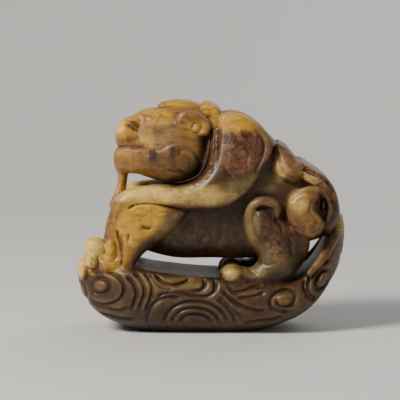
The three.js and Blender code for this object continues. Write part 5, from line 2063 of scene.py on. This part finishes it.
    def constants(self) -> dict[str, object]:
        """List what is the same all over the stone: how it bends, spreads and mirrors the light.

        Returns:
            The values of the shader's own sockets.
        """
        return {
            "IOR": 1.52, "Specular IOR Level": 0.34, "Coat Weight": 0.07, "Coat Roughness": 0.18,
            "Subsurface Weight": self.depth_glow, "Subsurface Radius": self.glow_radius,
            "Subsurface Scale": self.glow_scale,
        }

    def surface(self, circuit: NodeCircuit, shader: bpy.types.Node, grain: bpy.types.Node,
                pits: bpy.types.Node) -> None:
        """Set how the skin takes the light: its polish, its fine grain and its pits.

        Args:
            circuit: The material's nodes.
            shader: Its shader.
            grain: The placed group of the grain.
            pits: The placed group of the pits.
        """
        sheltered = circuit.math("MAXIMUM", self.weight(circuit, "hollow"), self.weight(circuit, "shelter_shade"))
        dulled = circuit.math("MULTIPLY", sheltered, self.dull - self.polish)
        cloudy = circuit.math("MULTIPLY", grain.outputs["Clouds"], 0.14)
        rough = circuit.math("ADD", circuit.math("ADD", dulled, cloudy), self.polish - 0.06)
        circuit.link(rough, shader.inputs["Roughness"])
        sunk = circuit.math("MULTIPLY", pits.outputs["Mask"], -2.0)
        height = circuit.math("ADD", circuit.math("MULTIPLY", grain.outputs["Fibres"], 0.5), sunk)
        bump = circuit.add("ShaderNodeBump", {"Strength": 0.5, "Distance": 0.00012, "Height": height})
        circuit.link(bump.outputs["Normal"], shader.inputs["Normal"])

    @staticmethod
    def place_group(circuit: NodeCircuit, group: bpy.types.NodeTree, place: Socket,
                    **values: object) -> bpy.types.Node:
        """Place a group in the material, laid over coordinates, with its own values."""
        return circuit.add("ShaderNodeGroup", {"Vector": place, **values}, node_tree=group)

    @staticmethod
    def weight(circuit: NodeCircuit, name: str) -> Socket:
        """Read a weight that is stored on the mesh."""
        return circuit.add("ShaderNodeAttribute", attribute_name=name).outputs["Fac"]

    @staticmethod
    def shaded(circuit: NodeCircuit, colour: object, share: object) -> Socket:
        """Deepen a colour by a share, towards itself multiplied by a brown."""
        values = {0: share, 6: colour, 7: (0.45, 0.34, 0.24, 1.0)}
        return circuit.add("ShaderNodeMix", values, data_type="RGBA", blend_type="MULTIPLY").outputs[2]


@dataclass(frozen=True)
class Softbox:
    """A square lamp of soft light, aimed at a place."""

    name: str
    at: tuple[float, float, float]
    size: float
    power: float
    colour: Colour = (1.0, 1.0, 1.0)

    def hang(self, target: Vector) -> None:
        """Hang the lamp and aim it.

        Args:
            target: The place that it is aimed at.
        """
        light = bpy.data.lights.new(self.name, "AREA")
        light.size = self.size
        light.energy = self.power
        light.color = self.colour
        lamp = bpy.data.objects.new(self.name, light)
        lamp.location = self.at
        lamp.rotation_euler = (target - Vector(self.at)).to_track_quat("-Z", "Y").to_euler()
        bpy.context.scene.collection.objects.link(lamp)


@dataclass(frozen=True)
class Studio:
    """A plain pale sweep of floor, soft light from the upper left, and the camera."""

    floor_tint: Colour = (0.74, 0.73, 0.71)
    floor_half: float = 0.9
    sweep_start: float = 0.35
    sweep_radius: float = 0.5
    wall_height: float = 1.2
    target: tuple[float, float, float] = (-0.00315, 0.0, 0.0383)
    distance: float = 0.6
    elevation: float = 5.0
    lens: float = 180.0
    sensor: float = 36.0
    lamps: tuple[Softbox, ...] = (
        Softbox("key_softbox", (-0.54, -0.44, 0.58), 0.28, 10.5, (1.0, 0.96, 0.90)),
        Softbox("fill_softbox", (0.6, -0.7, 0.25), 0.7, 0.7, (0.95, 0.97, 1.0)),
        Softbox("rim_softbox", (0.35, 0.5, 0.55), 0.5, 1.6, (1.0, 0.98, 0.95)),
    )
    air: Colour = (0.80, 0.84, 0.90)
    air_light: float = 0.16

    def floor(self) -> bpy.types.Object:
        """Build the floor, which sweeps up behind into a wall.

        Returns:
            The floor.
        """
        arc = [(self.sweep_start + self.sweep_radius * math.sin(a), self.sweep_radius * (1 - math.cos(a)))
               for a in np.linspace(0, math.pi / 2, 17)]
        profile = [(-self.floor_half * 2, 0.0), *arc, (arc[-1][0], self.wall_height)]
        points = [(side * self.floor_half * 1.6, y, z) for y, z in profile for side in (-1, 1)]
        faces = [(2 * i, 2 * i + 1, 2 * i + 3, 2 * i + 2) for i in range(len(profile) - 1)]
        mesh = bpy.data.meshes.new("floor")
        mesh.from_pydata(points, [], faces)
        mesh.shade_smooth()
        mesh.materials.append(self.plaster())
        floor = bpy.data.objects.new("floor", mesh)
        bpy.context.scene.collection.objects.link(floor)
        return floor

    def plaster(self) -> bpy.types.Material:
        """Build the plain matt finish of the floor.

        Returns:
            The material.
        """
        material = bpy.data.materials.new("pale_floor")
        material.use_nodes = True
        shader = material.node_tree.nodes["Principled BSDF"]
        shader.inputs["Base Color"].default_value = opaque(self.floor_tint)
        shader.inputs["Roughness"].default_value = 0.65
        return material

    def light(self) -> None:
        """Hang the lamps, and fill the air with a little pale light."""
        for lamp in self.lamps:
            lamp.hang(Vector(self.target))
        world = bpy.data.worlds.new("studio_air")
        world.use_nodes = True
        air = world.node_tree.nodes["Background"]
        air.inputs["Color"].default_value = opaque(self.air)
        air.inputs["Strength"].default_value = self.air_light
        bpy.context.scene.world = world

    def camera(self) -> None:
        """Stand the camera at the viewing angle of the photograph."""
        lens = bpy.data.cameras.new("camera")
        lens.lens = self.lens
        lens.sensor_width = self.sensor
        lean = math.radians(self.elevation)
        target = Vector(self.target)
        camera = bpy.data.objects.new("camera", lens)
        camera.location = target + self.distance * Vector((0.0, -math.cos(lean), math.sin(lean)))
        camera.rotation_euler = (target - camera.location).to_track_quat("-Z", "Y").to_euler()
        bpy.context.scene.collection.objects.link(camera)
        bpy.context.scene.camera = camera


def main() -> None:
    """Carve the stone, dress it, light it, and report each piece."""
    logging.basicConfig(level=logging.INFO, format="%(name)s: %(message)s")
    studio = Studio()
    studio.camera()
    studio.light()
    studio.floor()
    piece = Carving().build()
    piece.data.materials.clear()
    piece.data.materials.append(JadeFinish().material())
    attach(piece, "root")
    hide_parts(NODE)
    LOG.info("dressed %s", piece.name)


if __name__ == "__main__":
    main()
